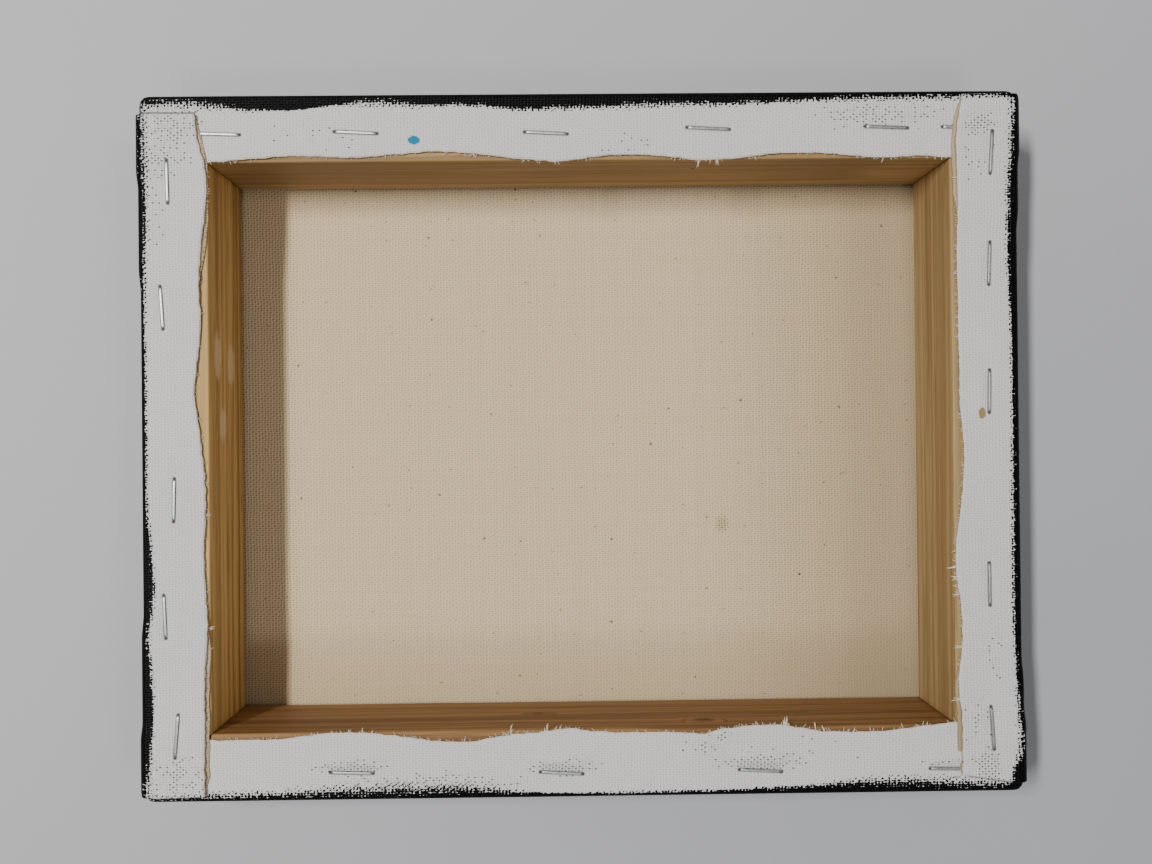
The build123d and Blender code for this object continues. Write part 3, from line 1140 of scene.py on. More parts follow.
# How far the spare cloth of each corner is tucked along the side
TUCK_REACH = {
    ("top", "left"): 46.0, ("top", "right"): 34.0,
    ("bottom", "left"): 47.0, ("bottom", "right"): 30.0,
}
CLOTH_THICK = 0.5
HAIR = 0.03  # air left between two layers
LAYER_LIFT = 2 * (CLOTH_THICK + HAIR)  # the side cloth over two hidden layers
SIDE_FLAP = 17.5  # about how far a side flap reaches in over the ends

on_wall = np.zeros(len(wall_z))
row_z = np.concatenate([wall_z, np.full(len(flap_bend), TOP)])[:, None]
row_bend = np.concatenate([on_wall, flap_bend])[:, None]
row_share = np.concatenate([on_wall, flap_share])[:, None]
row_climb = row_z / TOP
print("rows of a side strip:", len(row_z), " lift over two layers, mm:", LAYER_LIFT)

# %% [markdown]
# The strips for the top and bottom sides lie under the side flaps at their ends, and an ear of spare
# cloth goes on from them round each upright corner. Each strip is a grid whose columns run up the side and
# over the back, so the cloth's weave follows the fold.

# %% End strips and corner ears
def reach_over(width):
    """How far each row of a side reaches over the back: nothing up the side, then round the edge and in."""
    return row_bend + row_share * (width - ROUND)


def staple_place(side, points):
    """Each point's place beside the nearest staple of its side: along the crown, across it, in mm. The
    values change evenly between points, so a finish can draw marks finer than the grid from them. Past
    the ends of the crown the place moves off sideways, so nothing is drawn halfway to the next staple."""
    best = np.full(points.shape, FAR_OFF)
    for node, (middle, direction, _) in staples.items():
        if side in node:
            away = points[..., :2] - middle
            along = away @ direction
            past_end = ease((np.abs(along) - CROWN_HALF - 1.65) / 2.5)
            across = away @ np.array([-direction[1], direction[0]]) + 20 * past_end
            here = np.stack([along, across, 0 * along], -1)
            nearer = np.hypot(here[..., 0], here[..., 1]) < np.hypot(best[..., 0], best[..., 1])
            best = np.where(nearer[..., None], here, best)
    return best


def patch(sharp, lift, cloth, side=None, fold=UNMARKED):
    """One grid of cloth: rounded, lifted and pressed, with the values that its finish reads."""
    near = FAR_OFF
    if side:
        lift = press_at_staples(side, sharp, lift)
        near = staple_place(side, sharp)
    points, outwards = soften(sharp, lift)
    quads = facing(grid_quads(*sharp.shape[:2]), points.reshape(-1, 3), outwards.reshape(-1, 3))
    margin, dry = paint_edge(sharp)
    return as_patch(points, quads.tolist(), cloth, margin, dry, near, fold)


def fold_gap(sharp, end):
    """On an end strip, the distance out from the fold of the side flap that lies over its corner."""
    x, y = sharp[..., 0], np.abs(sharp[..., 1])
    gap = np.full(x.shape, UNMARKED)
    for side, sx in SIDE_SIGN.items():
        from_edge = HALF_X - sx * x
        share = np.clip(from_edge / SIDE_FLAP, 0, 1)
        here = y - fold_place(side, 1.0, share, END_SIGN[end])
        covered = (from_edge < SIDE_FLAP + 0.1) & (sharp[..., 2] > TOP - 1)
        gap = np.where(covered, here, gap)
    return gap


def end_strip(end):
    """The cloth of the top or bottom side: x along, up the side by z, then in over the back."""
    sign = END_SIGN[end]
    reach = reach_over(cut_width(end, columns_x))
    x, z = columns_x + 0 * reach, row_z + 0 * reach
    sharp = np.stack([x, sign * (HALF_Y - reach), z], -1)
    cloth = np.stack([x, sign * (HALF_Y + z + reach)], -1)
    hidden = ease((BAR_X - BAR_FACE + 1 - np.abs(x)) / 3)
    lift = free_lift(sharp, row_share, 60 + sign) * hidden
    lift = lift + wall_swell(x, z, HALF_X - np.abs(x), 70 + sign)
    return patch(sharp, lift, cloth, end, fold_gap(sharp, end))


def corner_ear(end, side):
    """Spare cloth of the end strip, wrapped round the upright corner and lying under the side strip.
    It widens from nothing at the front corner to the flap's width at the back edge."""
    ey, sx = END_SIGN[end], SIDE_SIGN[side]
    width = cut_width(end, np.array([sx * HALF_X]))
    reach = np.concatenate([[0.0], (flap_bend + flap_share * (width - ROUND))])
    b = reach[None, :] * (wall_z / TOP)[:, None]
    z = wall_z[:, None] + 0 * b
    sharp = np.stack([0 * b + sx * HALF_X, ey * (HALF_Y - b), z], -1)
    cloth = np.stack([sx * (HALF_X + b), ey * (HALF_Y + z)], -1)
    return patch(sharp, 0 * b, cloth)


print("end strips and ears ready")

# %% [markdown]
# **Side strips and corner pleats.** The cloth of the left and right sides lies over the ends. On the
# upright side each pleat is a triangle: its fold runs from the front corner up to the back edge. The
# side strip ends at that fold, rolls under in a half circle and runs back as the tuck. The strip is
# lifted by the layers beneath it: two near the corner, then one, then none.

# %% Places of the folds
ROLL_STEPS, TUCK_STEPS = 8, 17
ROLL_RUN = 1.7  # cloth used up by the half circle
BARE_INSIDE = 4.0  # the tuck lies this far outside the paint, so it shows the white ground


def fold_place(side, climb, share, ey):
    """Distance of the fold from the canvas's middle line, for rows that have climbed a share of the side
    and reached a share of the flap."""
    outer, inner = FOLD_INSET["top" if ey > 0 else "bottom", side]
    return HALF_Y - outer * climb - (inner - outer) * share


def tuck_reach(side, ey):
    """How far the spare cloth of a corner runs back along the side."""
    return TUCK_REACH["top" if ey > 0 else "bottom", side]


def layer_lift(distance, climb, reach):
    """Lift of the side cloth by what is tucked beneath: two layers, then one, then none, going away from
    the fold. The steps move towards the corner lower down, where the pleat is narrower."""
    scale = np.maximum(climb, 0.04)
    two = 1 - ease((distance / scale - 16) / 6)
    one = 1 - ease((distance / scale - reach + 1) / 8)
    return (two + one) / 2 * LAYER_LIFT * ease(climb * 5)


print("fold reaches, mm:", [tuck_reach(side, ey) for side in SIDE_SIGN for ey in (1, -1)])

# %% [markdown]
# The strip and its two tucks are separate grids that share a column, which the stitching joins.

# %% Side strips
def side_strip(side):
    """The cloth of the left or right side, drawn in at both ends to the folds."""
    sx = SIDE_SIGN[side]
    share = columns_y / HALF_Y
    far = np.where(share > 0, *(fold_place(side, row_climb, row_share, ey) for ey in (1, -1)))
    y = share * far
    z = row_z + 0 * y
    inwards = reach_over(cut_width(side, y))
    sharp = np.stack([sx * (HALF_X - inwards), y, z], -1)
    cloth = np.stack([sx * (HALF_X + z + inwards), y], -1)
    reach = np.where(share > 0, tuck_reach(side, 1), tuck_reach(side, -1))
    from_fold = far - np.abs(y)
    lift = layer_lift(from_fold, row_climb, reach) + free_lift(sharp, row_share, 80 + sx)
    lift = lift + wall_swell(y, z, from_fold, 90 + sx)
    made = patch(sharp, lift, cloth, side)
    made["rows"] = made["points"].reshape(*sharp.shape)
    made["sharp"] = sharp
    made["inwards"] = inwards
    return made


def side_fold(strip, side, ey):
    """From the side strip's end column: a half circle under, as deep as the layers, then the tuck."""
    sx = SIDE_SIGN[side]
    column = -1 if ey > 0 else 0
    edge = strip["rows"][:, column]
    climb, share = row_climb[:, 0], row_share[:, 0]
    tuck = tuck_reach(side, ey)
    place = strip["sharp"][:, column]
    _, out = soften(place)
    least = CLOTH_THICK / 2 + HAIR  # below this the tuck's own thickness would come through the strip
    rho = least * ease(climb * 90) + ((LAYER_LIFT - HAIR) / 2 - least) * ease(climb * 5)
    turn = np.linspace(0, np.pi, ROLL_STEPS)[:, None, None]
    towards = np.array([0, ey, 0.0])
    roll = edge - out * rho[:, None] + rho[:, None] * (out * np.cos(turn) + towards * np.sin(turn))
    b = np.linspace(0, 1, TUCK_STEPS + 1)[1:, None] * tuck * climb
    fold = fold_place(side, climb, share, ey)
    y = ey * (fold - b)
    peek = ease(b / 6) * ease((tuck - b) / 6)
    widest = CLOTH + BAR_FACE + 0.35
    inwards = row_bend[:, 0] + share * (np.minimum(cut_width(side, y) + peek, widest) - ROUND)
    sharp = np.stack([sx * (HALF_X - inwards), y, 0 * y + place[:, 2]], -1)
    tucked, _ = soften(sharp, layer_lift(b, climb, tuck) - 2 * rho)
    points = np.concatenate([roll, tucked])
    rows, cols = points.shape[:2]
    quads = grid_quads(rows, cols)
    quads = quads if looks_out(points.reshape(-1, 3), quads[cols - 3], out[-3]) else quads[:, ::-1]
    run = np.concatenate([np.tile(np.linspace(0, ROLL_RUN, ROLL_STEPS)[:, None], cols), ROLL_RUN + b])
    cloth_y = ey * (fold + run)
    cloth_x = sx * (HALF_X + place[:, 2] + strip["inwards"][:, column]) + 0 * cloth_y
    cloth = np.stack([cloth_x, cloth_y], -1)
    margin, dry = (np.repeat(value[None], ROLL_STEPS, 0) for value in paint_edge(place))
    margin = np.concatenate([margin, 0 * b - BARE_INSIDE])
    dry = np.concatenate([dry, 0 * b])
    return as_patch(points, quads.tolist(), cloth, margin, dry)


print("cloth functions ready")

# %% [markdown]
# All the patches go into one mesh and are stitched where their rims coincide, which leaves one cloth.
# The Solidify modifier then gives it thickness inwards, and puts the second material, raw cotton, on the
# new inner face and on the cut edges. Two things travel with each point: its place on the flat cloth, as
# a UV map, so the weave follows every fold, and its distance from the edge of the paint.

# %% Stitch the cloth
def gather_cloth():
    """Every patch of the sheet."""
    patches = [face_patch(), *(end_strip(end) for end in END_SIGN)]
    for side in SIDE_SIGN:
        strip = side_strip(side)
        patches.append(strip)
        for end, ey in END_SIGN.items():
            patches.append(side_fold(strip, side, ey))
            patches.append(corner_ear(end, side))
    return patches


def cloth_mesh(name, patches):
    """Stacks the patches, writes the cloth's flat coordinates and the paint margin, then stitches."""
    starts = np.cumsum([0] + [len(p["points"]) for p in patches])
    points = np.vstack([p["points"] for p in patches])
    faces = [[n + start for n in face] for p, start in zip(patches, starts) for face in p["faces"]]
    mesh = bpy.data.meshes.new(name)
    mesh.from_pydata(points * MM, [], faces)
    corner = np.empty(len(mesh.loops), np.int32)
    mesh.loops.foreach_get("vertex_index", corner)
    flat = np.vstack([p["cloth"] for p in patches]) * MM
    mesh.uv_layers.new(name="cloth").uv.foreach_set("vector", flat[corner].astype(np.float32).ravel())
    for label, key in (("paint_margin", "margin"), ("dry_brush", "dry"), ("fold_gap", "fold")):
        values = np.concatenate([p[key] for p in patches]).astype(np.float32)
        mesh.attributes.new(label, "FLOAT", "POINT").data.foreach_set("value", values)
    near = np.vstack([p["near"] for p in patches]).astype(np.float32)
    mesh.attributes.new("near_staple", "FLOAT_VECTOR", "POINT").data.foreach_set("vector", near.ravel())
    stitch(mesh, 0.002)
    mesh.shade_smooth()
    return mesh


sheet_mesh = cloth_mesh("canvas", gather_cloth())
print("cloth faces before thickness:", len(sheet_mesh.polygons))

# %% [markdown]
# **Primed cloth and paint.** Outside, the cotton carries a white ground that half fills the weave. The
# edges were brushed black: the paint covers fully near the edge, and at its limit the dry brush only
# catches the raised threads, so the border breaks up into specks the size of the weave. The mask adds
# three things, the distance to the border, a slow wander and the weave, and cuts the sum at zero.

# %% Smudges, drops and blacks
# Places where black paint sits in the pits of the weave: (x, y), half size, share of pits filled
SMUDGES = [
    ((-118, 93), (7, 4), 0.75), ((-120, 84), (6, 5), 0.45), ((-123, 66), (3, 9), 0.25),
    ((116.3, 92.3), (3.8, 2.8), 1.3), ((115, 84), (5, 6), 0.2), ((116.5, -94), (3.2, 4.2), 1.3),
    ((114, -84), (3.5, 9), 0.22), ((120, -62), (2, 8), 0.15), ((-67, -93), (8.5, 1.9), 1.0),
    ((-6.5, -93.3), (7.5, 1.8), 1.1), ((50.5, -93), (9, 2.0), 1.15), ((104, -93.6), (5, 1.2), 0.7),
    ((33, -88), (5, 1.4), 0.5), ((40, -84.5), (3, 1.6), 0.5), ((-118, -95), (7, 5), 0.6),
    ((14, 87.5), (6, 3), 0.2), ((-45, -97.5), (18, 2.4), 0.7), ((86, 95), (14, 3), 0.6),
    ((-75, 89), (12, 5), 0.08), ((62, -90), (16, 4), 0.07),
]
DROPS = [
    ((-48.1, 88.6, TOP), (1.9, 1.25, 2), (0.02, 0.22, 0.38, 1)),
    ((116.3, 7.9, TOP), (1.15, 1.5, 2), (0.34, 0.235, 0.11, 1)),
]
BLACK_PAINT = (0.0009, 0.0009, 0.001, 1)
THIN_BLACK = (0.035, 0.035, 0.04, 1)
# Colours of painted shade in the staples' leg holes and beside their crowns
HOLE_SHADE = (0.02, 0.02, 0.022, 1)
GROOVE_SHADE = (0.10, 0.10, 0.11, 1)
# Colour of the painted shadow line beside the folds
CREASE_SHADOW = (0.06, 0.06, 0.065, 1)


print("smudges:", len(SMUDGES), " drops:", len(DROPS))

# %% [markdown]
# Each mark on the ground has a mask of its own. Four short functions work them out, so that the finish
# itself is only a list of layers.

# %% Masks of the paint and the marks
def paint_mask(tree, height, slow, speck):
    """1 where the paint covers: the distance to its border, a slow wander and the weave, cut at zero."""
    dry = scaled(tree, carried(tree, "dry_brush"), 2.0, 0.35)
    rough_edge = scaled(tree, minus(tree, height, 0.5), 1.5, times(tree, speck, 2.6))
    total = scaled(tree, slow, 1.4, plus(tree, carried(tree, "paint_margin"), 0.15))
    return ramp(tree, scaled(tree, rough_edge, dry, total), -0.08, 0.08)


def dirty_pits(tree, place, weave):
    """The pits that hold paint: inside a smudge, those whose chance is below its share."""
    zones = []
    for (x, y), half, share in SMUDGES:
        zone = spot(tree, place, (x, y, TOP), (*half, 6), softness=0.8, grain=200.0)
        zones.append(times(tree, zone, share))
    scuff = reduce(partial(math, tree, "MAXIMUM"), zones)
    return times(tree, weave["Pit"], math(tree, "LESS_THAN", weave["Pit Chance"], scuff))


def staple_shade_marks(tree):
    """Painted shade: the groove beside each crown, and the hole at each of its ends."""
    along, across, _ = split_xyz(tree, carried(tree, "near_staple", "Vector"))
    along, across = math(tree, "ABSOLUTE", along), math(tree, "ABSOLUTE", across)
    end_x = over(tree, minus(tree, along, CROWN_HALF - 0.15), 0.55)
    hole = opposite(tree, ramp(tree, diagonal(tree, end_x, over(tree, across, 0.50)), 0.5, 1.25))
    beside = opposite(tree, ramp(tree, across, 0.40, 0.72))
    groove = times(tree, beside, opposite(tree, ramp(tree, along, CROWN_HALF - 0.2, CROWN_HALF + 0.3)))
    return groove, hole


def fold_shadow_line(tree, slow):
    """A painted shadow: the dark line a little outside the fold of a side flap."""
    gap = scaled(tree, slow, 0.4, carried(tree, "fold_gap"))
    off = math(tree, "ABSOLUTE", minus(tree, gap, 0.85))
    return opposite(tree, ramp(tree, off, 0.18, 0.50))


print("masks ready")

# %% [markdown]
# The layers go on in the order in which the real ones did: the ground with its weave and painted shade
# in its hollows, the dirt in the pits, painted shade beside the staples and a painted shadow at the folds,
# the drops, and the black paint last.

# %% Primed and painted finish
def make_primed():
    """White ground over the weave with painted shade in its hollows, black paint by mask, scuffed pits,
    painted shade in the staple dents, a painted shadow at the folds, and two drops.
    """
    finish, tree, shader = new_finish("primed_cloth")
    flat, place = flat_cloth(tree), own_place(tree)
    weave = use_group(tree, weave_group, Vector=flat, Warp_Pitch=0.00094, Weft_Pitch=0.00071, Wander=0.3)
    slow = sway(tree, place, 230.0, 3.0, 0.6)
    speck = sway(tree, flat, 1300.0, 1.0)
    black = paint_mask(tree, weave["Height"], slow, speck)
    groove, hole = staple_shade_marks(tree)

    # Painted shade in the low parts of the weave and in its pits
    low = opposite(tree, ramp(tree, weave["Height"], 0.20, 1.0))
    ground = blend(tree, noise(tree, place, 30.0), (0.69, 0.69, 0.695, 1), (0.77, 0.765, 0.75, 1))
    ground = layer(tree, ground, low, 0.22, (0.30, 0.29, 0.29, 1))
    ground = layer(tree, ground, weave["Pit"], 0.28, (0.28, 0.27, 0.26, 1))
    ground = layer(tree, ground, dirty_pits(tree, place, weave), 0.85, THIN_BLACK)
    # Painted shade in the groove beside each staple and in its leg holes
    ground = layer(tree, ground, groove, 0.5, GROOVE_SHADE)
    ground = layer(tree, ground, hole, 0.9, HOLE_SHADE)
    # Painted shadow line a little outside each fold of a side flap
    ground = layer(tree, ground, fold_shadow_line(tree, slow), 0.75, CREASE_SHADOW)
    for centre, half, colour in DROPS:
        ground = blend(tree, spot(tree, place, centre, half, 0.12, 700.0), ground, colour)
    put(tree, shader["Base Color"], blend(tree, black, ground, BLACK_PAINT))
    put(tree, shader["Roughness"], blend(tree, black, 0.75, 0.45, "FLOAT"))
    relief = scaled(tree, speck, 0.3, weave["Height"])
    relief = scaled(tree, math(tree, "MAXIMUM", groove, hole), -1.6, relief)
    put(tree, shader["Normal"], bump(tree, relief, 0.8, 0.20))
    shader["Specular IOR Level"].default_value = 0.09
    return finish


print("layers on the ground:", 6 + len(DROPS))

# %% [markdown]
# ** Raw cotton.** Inside, the cloth is bare: warm beige threads, each with its own tone, painted shade in
# the pits between them, and the flecks of seed husk that unbleached cotton always holds. Painted shade
# darkens it towards its right and lower edges, standing in for the falloff of the main lamp's light, and
# the painted shade in the weave is stronger near the side bars than in the middle.

# %% Raw cotton finish
# Husk marks big enough to notice: (x, y), half size
SEED_MARKS = [
    ((-16.8, 52.3), (0.9, 0.5)), ((-12.4, 67.8), (0.4, 0.6)), ((45.7, -26.3), (2.0, 2.4)),
    ((40.8, -24.2), (0.8, 0.6)), ((46.7, 11.1), (1.5, 0.3)), ((0.3, -14.0), (0.5, 0.45)),
    ((84.9, -10.4), (1.0, 0.4)), ((94.1, -5.3), (0.6, 0.3)),
]
# Scattered flecks: cells per metre, largest share of a cell, colour
SEED_FLECKS = [(70.0, 0.030, (0.09, 0.05, 0.03, 1)), (150.0, 0.045, (0.24, 0.15, 0.08, 1))]
HUSK_BROWN = (0.20, 0.13, 0.035, 1)
# Colours of painted shade: between the threads and in the pits
SHADE_BETWEEN_THREADS = (0.36, 0.25, 0.13, 1)
PIT_SHADE_BROWN = (0.19, 0.12, 0.055, 1)
# Colour of the painted shade towards the right and lower edges
FALLOFF_SHADE_COTTON = (0.37, 0.285, 0.165, 1)


def seed_fleck(tree, flat, scale, size):
    """1 inside the ragged dots that sit at the middle of some cells of a Voronoi texture."""
    cells = add(tree, "TexVoronoi", {"voronoi_dimensions": "2D"}, Vector=flat, Scale=scale)
    luck = split_xyz(tree, cells.outputs["Color"])
    kept = math(tree, "GREATER_THAN", luck[0], 0.55)
    ragged = scaled(tree, sway(tree, flat, 2400.0), 0.08, cells.outputs["Distance"])
    return times(tree, math(tree, "LESS_THAN", ragged, times(tree, luck[1], size)), kept)


def make_raw():
    """Beige threads, painted shade in the hollows and pits, painted shade towards the right and lower edges,
    scattered seed flecks and a few larger husk marks.
    """
    finish, tree, shader = new_finish("raw_cotton")
    flat, place = flat_cloth(tree), own_place(tree)
    x, y, _ = split_xyz(tree, place)
    weave = use_group(tree, weave_group, Vector=flat, Warp_Pitch=0.00097, Weft_Pitch=0.00071, Wander=0.3)
    colour = blend(tree, weave["Thread Tone"], (0.77, 0.608, 0.385, 1), (0.83, 0.67, 0.445, 1))
    colour = layer(tree, colour, noise(tree, flat, 14.0, 3.0), 0.4, (0.80, 0.651, 0.44, 1))
    # Painted shade in the weave's hollows and pits, stronger near the side bars than in the middle
    near_bars = math(tree, "MAXIMUM", ramp(tree, x, 0.035, 0.100), ramp(tree, x, -0.088, -0.098))
    low = opposite(tree, ramp(tree, weave["Height"], 0.18, 1.0))
    colour = layer(tree, colour, low, scaled(tree, near_bars, 0.20, 0.27), SHADE_BETWEEN_THREADS)
    colour = layer(tree, colour, weave["Pit"], scaled(tree, near_bars, 0.24, 0.34), PIT_SHADE_BROWN)
    # Painted shade: darker towards the right and lower edges, standing in for the falloff of the main lamp's
    # light
    lower = times(tree, ramp(tree, y, -0.05, -0.085), 0.36)
    falloff_shade = scaled(tree, ramp(tree, x, 0.03, 0.115), 0.60, lower)
    colour = blend(tree, falloff_shade, colour, FALLOFF_SHADE_COTTON)
    for scale, size, seed_colour in SEED_FLECKS:
        colour = layer(tree, colour, seed_fleck(tree, flat, scale, size), 0.8, seed_colour)
    for (mark_x, mark_y), half in SEED_MARKS:
        mark = spot(tree, place, (mark_x, mark_y, CLOTH), (*half, 2), softness=0.5, grain=1800.0)
        colour = layer(tree, colour, mark, scaled(tree, weave["Pit"], 0.80, 0.16), HUSK_BROWN)
    put(tree, shader["Base Color"], colour)
    shader["Roughness"].default_value = 0.9
    shader["Specular IOR Level"].default_value = 0.1
    put(tree, shader["Normal"], bump(tree, weave["Height"], 0.75, 0.24))
    return finish


print("husk marks:", len(SEED_MARKS))

# %% [markdown]
# Solidify thickens the sheet towards the wood, so the outer surface stays where it was drawn.

# %% Make the canvas
primed, raw = make_primed(), make_raw()
canvas = make_object("canvas", sheet_mesh, [primed, raw])
thickness = canvas.modifiers.new("cloth_thickness", "SOLIDIFY")
thickness.thickness = CLOTH_THICK * MM
thickness.offset = -1
thickness.material_offset = 1
thickness.material_offset_rim = 1
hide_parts("canvas_sheet")
print("canvas ready")

# %% [markdown]
# ## Frayed threads
#
# A cut edge of duck never stays clean: short ends of thread stand out between the snips. Each one is a
# thin tapered tube that leaves the edge, bends sideways and droops. They are all worked out together, as
# one array of paths, and become one light mesh.

# %% Paths of the frayed threads
FRAY_RINGS, FRAY_SIDES = 7, 5
# A tuft is a few threads side by side: shift along the edge, share of the tuft's length
TUFT = [(-0.30, 0.55), (-0.12, 0.9), (0.05, 1.0), (0.25, 0.7)]
# Tufts that stand out by themselves: side, place along it, length
LONG_ENDS = [
    ("bottom", -21.6, 2.8), ("bottom", -22.6, 1.2), ("bottom", -11.0, 2.0), ("bottom", 58.0, 2.4),
    ("bottom", 67.0, 2.2), ("bottom", 69.5, 1.6), ("top", -31.0, 1.4), ("top", 34.6, 2.0),
    ("top", 40.0, 1.6), ("top", 51.0, 1.2), ("right", -36.5, 2.6), ("right", -44.5, 1.8),
    ("right", -60.0, 2.0), ("right", -75.0, 2.4), ("right", -40.0, 1.6), ("left", -19.5, 1.6),
    ("left", -52.0, 1.8), ("left", -10.0, 1.2),
]
FRAY_COUNT = {"top": 150, "bottom": 210, "left": 130, "right": 180}
FRAY_RADIUS = 0.19
ROOT = 0.5  # how far back into the cloth each thread starts


def edge_points(side, along):
    """Points on a flap's cut edge, with the inward direction and the direction along the edge."""
    width = cut_width(side, along)
    if side in END_SIGN:
        sign = END_SIGN[side]
        at = np.stack([along, sign * (HALF_Y - width)], -1)
        return at, np.array([0.0, -sign]), np.array([1.0, 0.0])
    sign = SIDE_SIGN[side]
    return np.stack([sign * (HALF_X - width), along], -1), np.array([-sign, 0.0]), np.array([0.0, 1.0])


def fray_paths(seed=7):
    """Paths of all thread ends: an arc of the thread's length that starts inwards, swings to one side by
    a random turn and droops with the square of the distance."""
    rng = np.random.default_rng(seed)
    starts, inward, sideways, lengths, lifts = [], [], [], [], []
    for side, count in FRAY_COUNT.items():
        half = BAR_X - BAR_FACE if side in END_SIGN else BAR_Y - 6
        along = rng.uniform(-half, half, count)
        tufts = [(a + shift, size * share) for s, a, size in LONG_ENDS if s == side for shift, share in TUFT]
        along = np.concatenate([along, [a for a, _ in tufts]])
        lengths.append(np.concatenate([rng.gamma(2.0, 0.17, count) + 0.2, [v for _, v in tufts]]))
        at, inner, sideway = edge_points(side, along)
        starts.append(at)
        inward.append(np.broadcast_to(inner, at.shape))
        sideways.append(np.broadcast_to(sideway, at.shape))
        over_tuck = 0.0 if side in END_SIGN else 1.0
        lifts.append(over_tuck * ease((np.abs(along) - 60) / 8) * LAYER_LIFT / 2)
    at, inner, sideway = np.vstack(starts), np.vstack(inward)[:, None], np.vstack(sideways)[:, None]
    length, raised = np.concatenate(lengths), np.concatenate(lifts)
    size = length[:, None, None]
    s = np.linspace(0, 1, FRAY_RINGS)[None, :, None]
    lean = rng.normal(0, 0.5, len(at))[:, None, None]
    curl = rng.normal(0, 0.7, len(at))[:, None, None]
    tuft_lean = 0.35 * np.sin(37.0 * at.sum(1))[:, None, None]
    lean, curl = np.where(size > 1.0, tuft_lean, lean), np.where(size > 1.0, 0.3 * curl, curl)
    flat = at[:, None] - inner * ROOT + (inner + lean * sideway) * (size + ROOT) * s
    flat = flat + sideway * curl * size * s**2
    height = TOP - 0.25 + raised[:, None] + rng.uniform(-0.12, 0.25, len(at))[:, None]
    droop = height - 0.22 * length[:, None] * s[..., 0] ** 2
    return np.concatenate([flat, droop[..., None]], -1), length


print("thread ends:", sum(FRAY_COUNT.values()) + len(LONG_ENDS) * len(TUFT))

# %% [markdown]
# One array holds the rings of every tube, so all threads are made at once. They have five sides and seven
# rings each, since no one sees more of a thread than its outline.

# %% Make the frayed threads
def fray_mesh():
    """Tapered five-sided tubes along the paths, joined into one mesh, each closed at both ends."""
    paths, length = fray_paths()
    count = len(paths)
    tangent = np.gradient(paths, axis=1)
    tangent /= np.linalg.norm(tangent, axis=-1, keepdims=True)
    across = np.cross(tangent, [0, 0, 1.0])
    across /= np.linalg.norm(across, axis=-1, keepdims=True)
    upward = np.cross(across, tangent)
    s = np.linspace(0, 1, FRAY_RINGS)
    taper = (FRAY_RADIUS * (1 - 0.7 * s**2))[None, :, None, None]
    radius = taper * np.where(length > 1.3, 1.15, 0.85)[:, None, None, None]
    turn = np.linspace(0, 2 * np.pi, FRAY_SIDES, endpoint=False)[None, None, :, None]
    spokes = np.cos(turn) * across[:, :, None] + np.sin(turn) * upward[:, :, None]
    points = paths[:, :, None] + radius * spokes
    ring = np.arange(FRAY_SIDES)
    row = np.arange(FRAY_RINGS - 1)[:, None] * FRAY_SIDES
    near, far = row + ring, row + (ring + 1) % FRAY_SIDES
    quads = np.stack([near, far, far + FRAY_SIDES, near + FRAY_SIDES], -1).reshape(-1, 4)
    block = FRAY_RINGS * FRAY_SIDES
    first = np.arange(count)[:, None, None] * block
    faces = (first + quads).reshape(-1, 4).tolist()
    faces += (first[:, 0] + ring[::-1]).tolist()
    faces += (first[:, 0] + block - FRAY_SIDES + ring).tolist()
    return points.reshape(-1, 3), faces


def make_thread_finish():
    """Loose cotton: paler than the woven cloth, with a tone that changes from end to end."""
    finish, tree, shader = new_finish("loose_cotton")
    place = own_place(tree)
    colour = blend(tree, noise(tree, place, 420.0), (0.50, 0.41, 0.28, 1), (0.76, 0.69, 0.57, 1))
    put(tree, shader["Base Color"], colour)
    put(tree, shader["Normal"], bump(tree, noise(tree, place, 9000.0), 0.6, 0.05))
    shader["Roughness"].default_value = 0.9
    return finish


loose = fill_mesh("frayed_threads", *fray_mesh(), weld=0)
frays = make_object("frayed_threads", loose, [make_thread_finish()])
print("frayed thread faces:", len(frays.data.polygons))

# %% [markdown]
# ## Staples
#
# An upholstery staple is flat wire: a rounded rectangle in section. The wire is carried along a path that
# runs down one leg, turns through a small arc, crosses as the crown, and goes down the other leg. The
# crown bows up very slightly in the middle, as a fired staple does.

# %% Shape of a staple
LEG = 7.6
TURN_RADIUS = 0.85
BOW = 0.09  # rise of the crown's middle


def wire_ring(wide, thick, power=0.45):
    """A rounded rectangle of (side, up) offsets: the cosine and sine of a turn, raised to a power below 1,
    which stretches the circle towards its corners."""
    t = np.linspace(0, 2 * np.pi, 20, endpoint=False) + np.pi / 20
    round_trip = np.stack([np.cos(t), np.sin(t)], -1)
    return np.sign(round_trip) * np.abs(round_trip) ** power * (wide / 2, thick / 2)


def staple_path():
    """(along, up, tangent angle) of the wire's middle line: leg, quarter circle, crown, quarter circle
    and leg. Half of it is worked out, and the other half is its mirror image."""
    half = CROWN_HALF - WIRE[1] / 2
    angle = np.linspace(0, np.pi / 2, 7)
    r = TURN_RADIUS
    arc = np.stack([-half + r - r * np.cos(angle), -r + r * np.sin(angle), np.pi / 2 - angle], -1)
    leg = np.stack([np.full(5, -half), np.linspace(-LEG, -r, 6)[:-1], np.full(5, np.pi / 2)], -1)
    along = np.linspace(-half + r, 0, 9)[1:]
    crown = np.stack([along, BOW * (1 - (along / half) ** 2), 0 * along], -1)
    left = np.vstack([leg, arc, crown])
    return np.vstack([left, left[:-1][::-1] * (-1, 1, -1)])


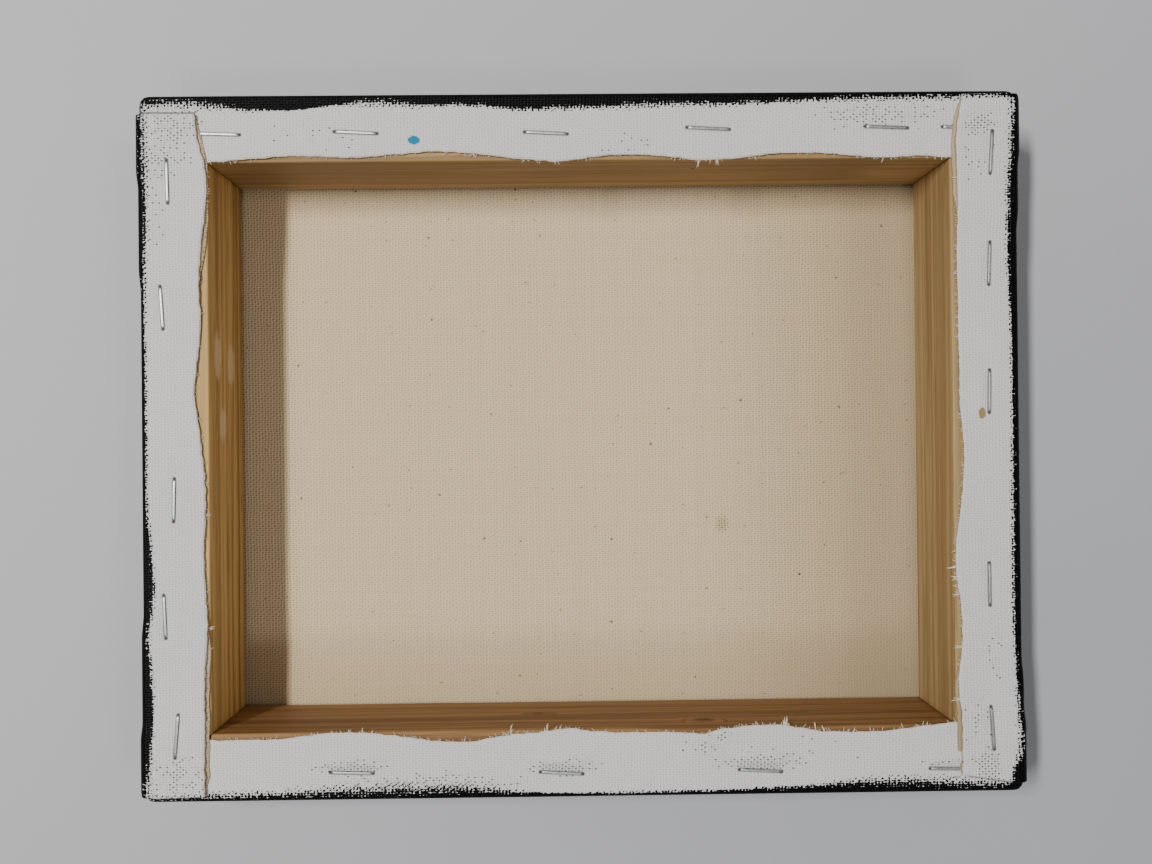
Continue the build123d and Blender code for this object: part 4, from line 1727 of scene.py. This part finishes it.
def staple_mesh(middle, direction, crown_top):
    """The wire section carried along the staple's path, in the upright plane of its crown."""
    path = staple_path()
    along = np.array([*direction, 0.0])
    across = np.array([-direction[1], direction[0], 0.0])
    up = np.array([0, 0, 1.0])
    base = np.array([*middle, crown_top - WIRE[1] / 2 - 0.05])
    line = base + path[:, :1] * along + path[:, 1:2] * up
    angle = path[:, 2:]
    normal = np.cos(angle) * up - np.sin(angle) * along
    points = tube(line, wire_ring(*WIRE), np.broadcast_to(across, line.shape), normal)
    return close_tube(points, points - line[:, None])


print("points on a staple's path:", len(staple_path()))

# %% [markdown]
# The wire is galvanised: bright where it was drawn through the tool, cloudy elsewhere.

# %% Make the staples
def make_staple_steel():
    """Galvanised wire: grey metal with a patchy bloom and fine draw marks."""
    finish, tree, shader = new_finish("staple_steel")
    place = own_place(tree)
    bloom = noise(tree, place, 900.0, 3.0)
    put(tree, shader["Base Color"], blend(tree, bloom, (0.30, 0.30, 0.31, 1), (0.52, 0.52, 0.53, 1)))
    put(tree, shader["Roughness"], scaled(tree, bloom, 0.3, 0.30))
    put(tree, shader["Normal"], bump(tree, noise(tree, place, 7000.0), 0.3, 0.02))
    shader["Metallic"].default_value = 1.0
    return finish


steel = make_staple_steel()
for node, (middle, direction, crown_top) in staples.items():
    name = node.replace("staple", "wire_staple")
    bent = fill_mesh(name, *staple_mesh(middle, direction, crown_top))
    wire = make_object(name, bent, [steel])
    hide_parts(node)
print("staple faces each:", len(wire.data.polygons))

# %% [markdown]
# ## Hidden V-nails
#
# Two pressed V-nails sit in every mitre under the flaps. Their shape in the frame is right, so they stay,
# and only take a finish: dull blued strip steel.

# %% V-nail finish
def make_blued_steel():
    """Dull blue-grey steel with darker rolling marks."""
    finish, tree, shader = new_finish("v_nail_steel")
    marks = noise(tree, own_place(tree), 1500.0, 4.0, 0.7)
    put(tree, shader["Base Color"], blend(tree, marks, (0.20, 0.21, 0.23, 1), (0.40, 0.41, 0.43, 1)))
    put(tree, shader["Roughness"], scaled(tree, marks, 0.3, 0.35))
    shader["Metallic"].default_value = 1.0
    return finish


blued = make_blued_steel()
for node in (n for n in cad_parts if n.startswith("v_nail_")):
    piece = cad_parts[node]
    piece.data.materials.clear()
    piece.data.materials.append(blued)
print("v-nails finished")

# %% [markdown]
# ## Floor finish
#
# A pale painted table, almost even, with a faint cool cloudiness and painted shade that darkens it towards
# the right and the near side.

# %% Floor finish
def make_table_paint():
    """Near-white with slow cool patches, and painted shade: a little darker towards the right and the near
    side, where the lamp's light grows weaker.
    """
    finish, tree, shader = new_finish("table_paint")
    place = own_place(tree)
    x, y, _ = split_xyz(tree, place)
    # Painted shade: darker towards the right and the near side, standing in for the lamp's light growing
    # weaker
    painted_falloff = ramp(tree, scaled(tree, y, -1.3, x), -0.2, 0.30)
    colour = blend(tree, painted_falloff, (0.50, 0.50, 0.52, 1), (0.41, 0.415, 0.44, 1))
    colour = layer(tree, colour, noise(tree, place, 11.0, 3.0), 0.35, (0.50, 0.525, 0.57, 1))
    put(tree, shader["Base Color"], colour)
    shader["Roughness"].default_value = 0.6
    shader["Specular IOR Level"].default_value = 0.2
    return finish


floor.data.materials.append(make_table_paint())
print("table painted")
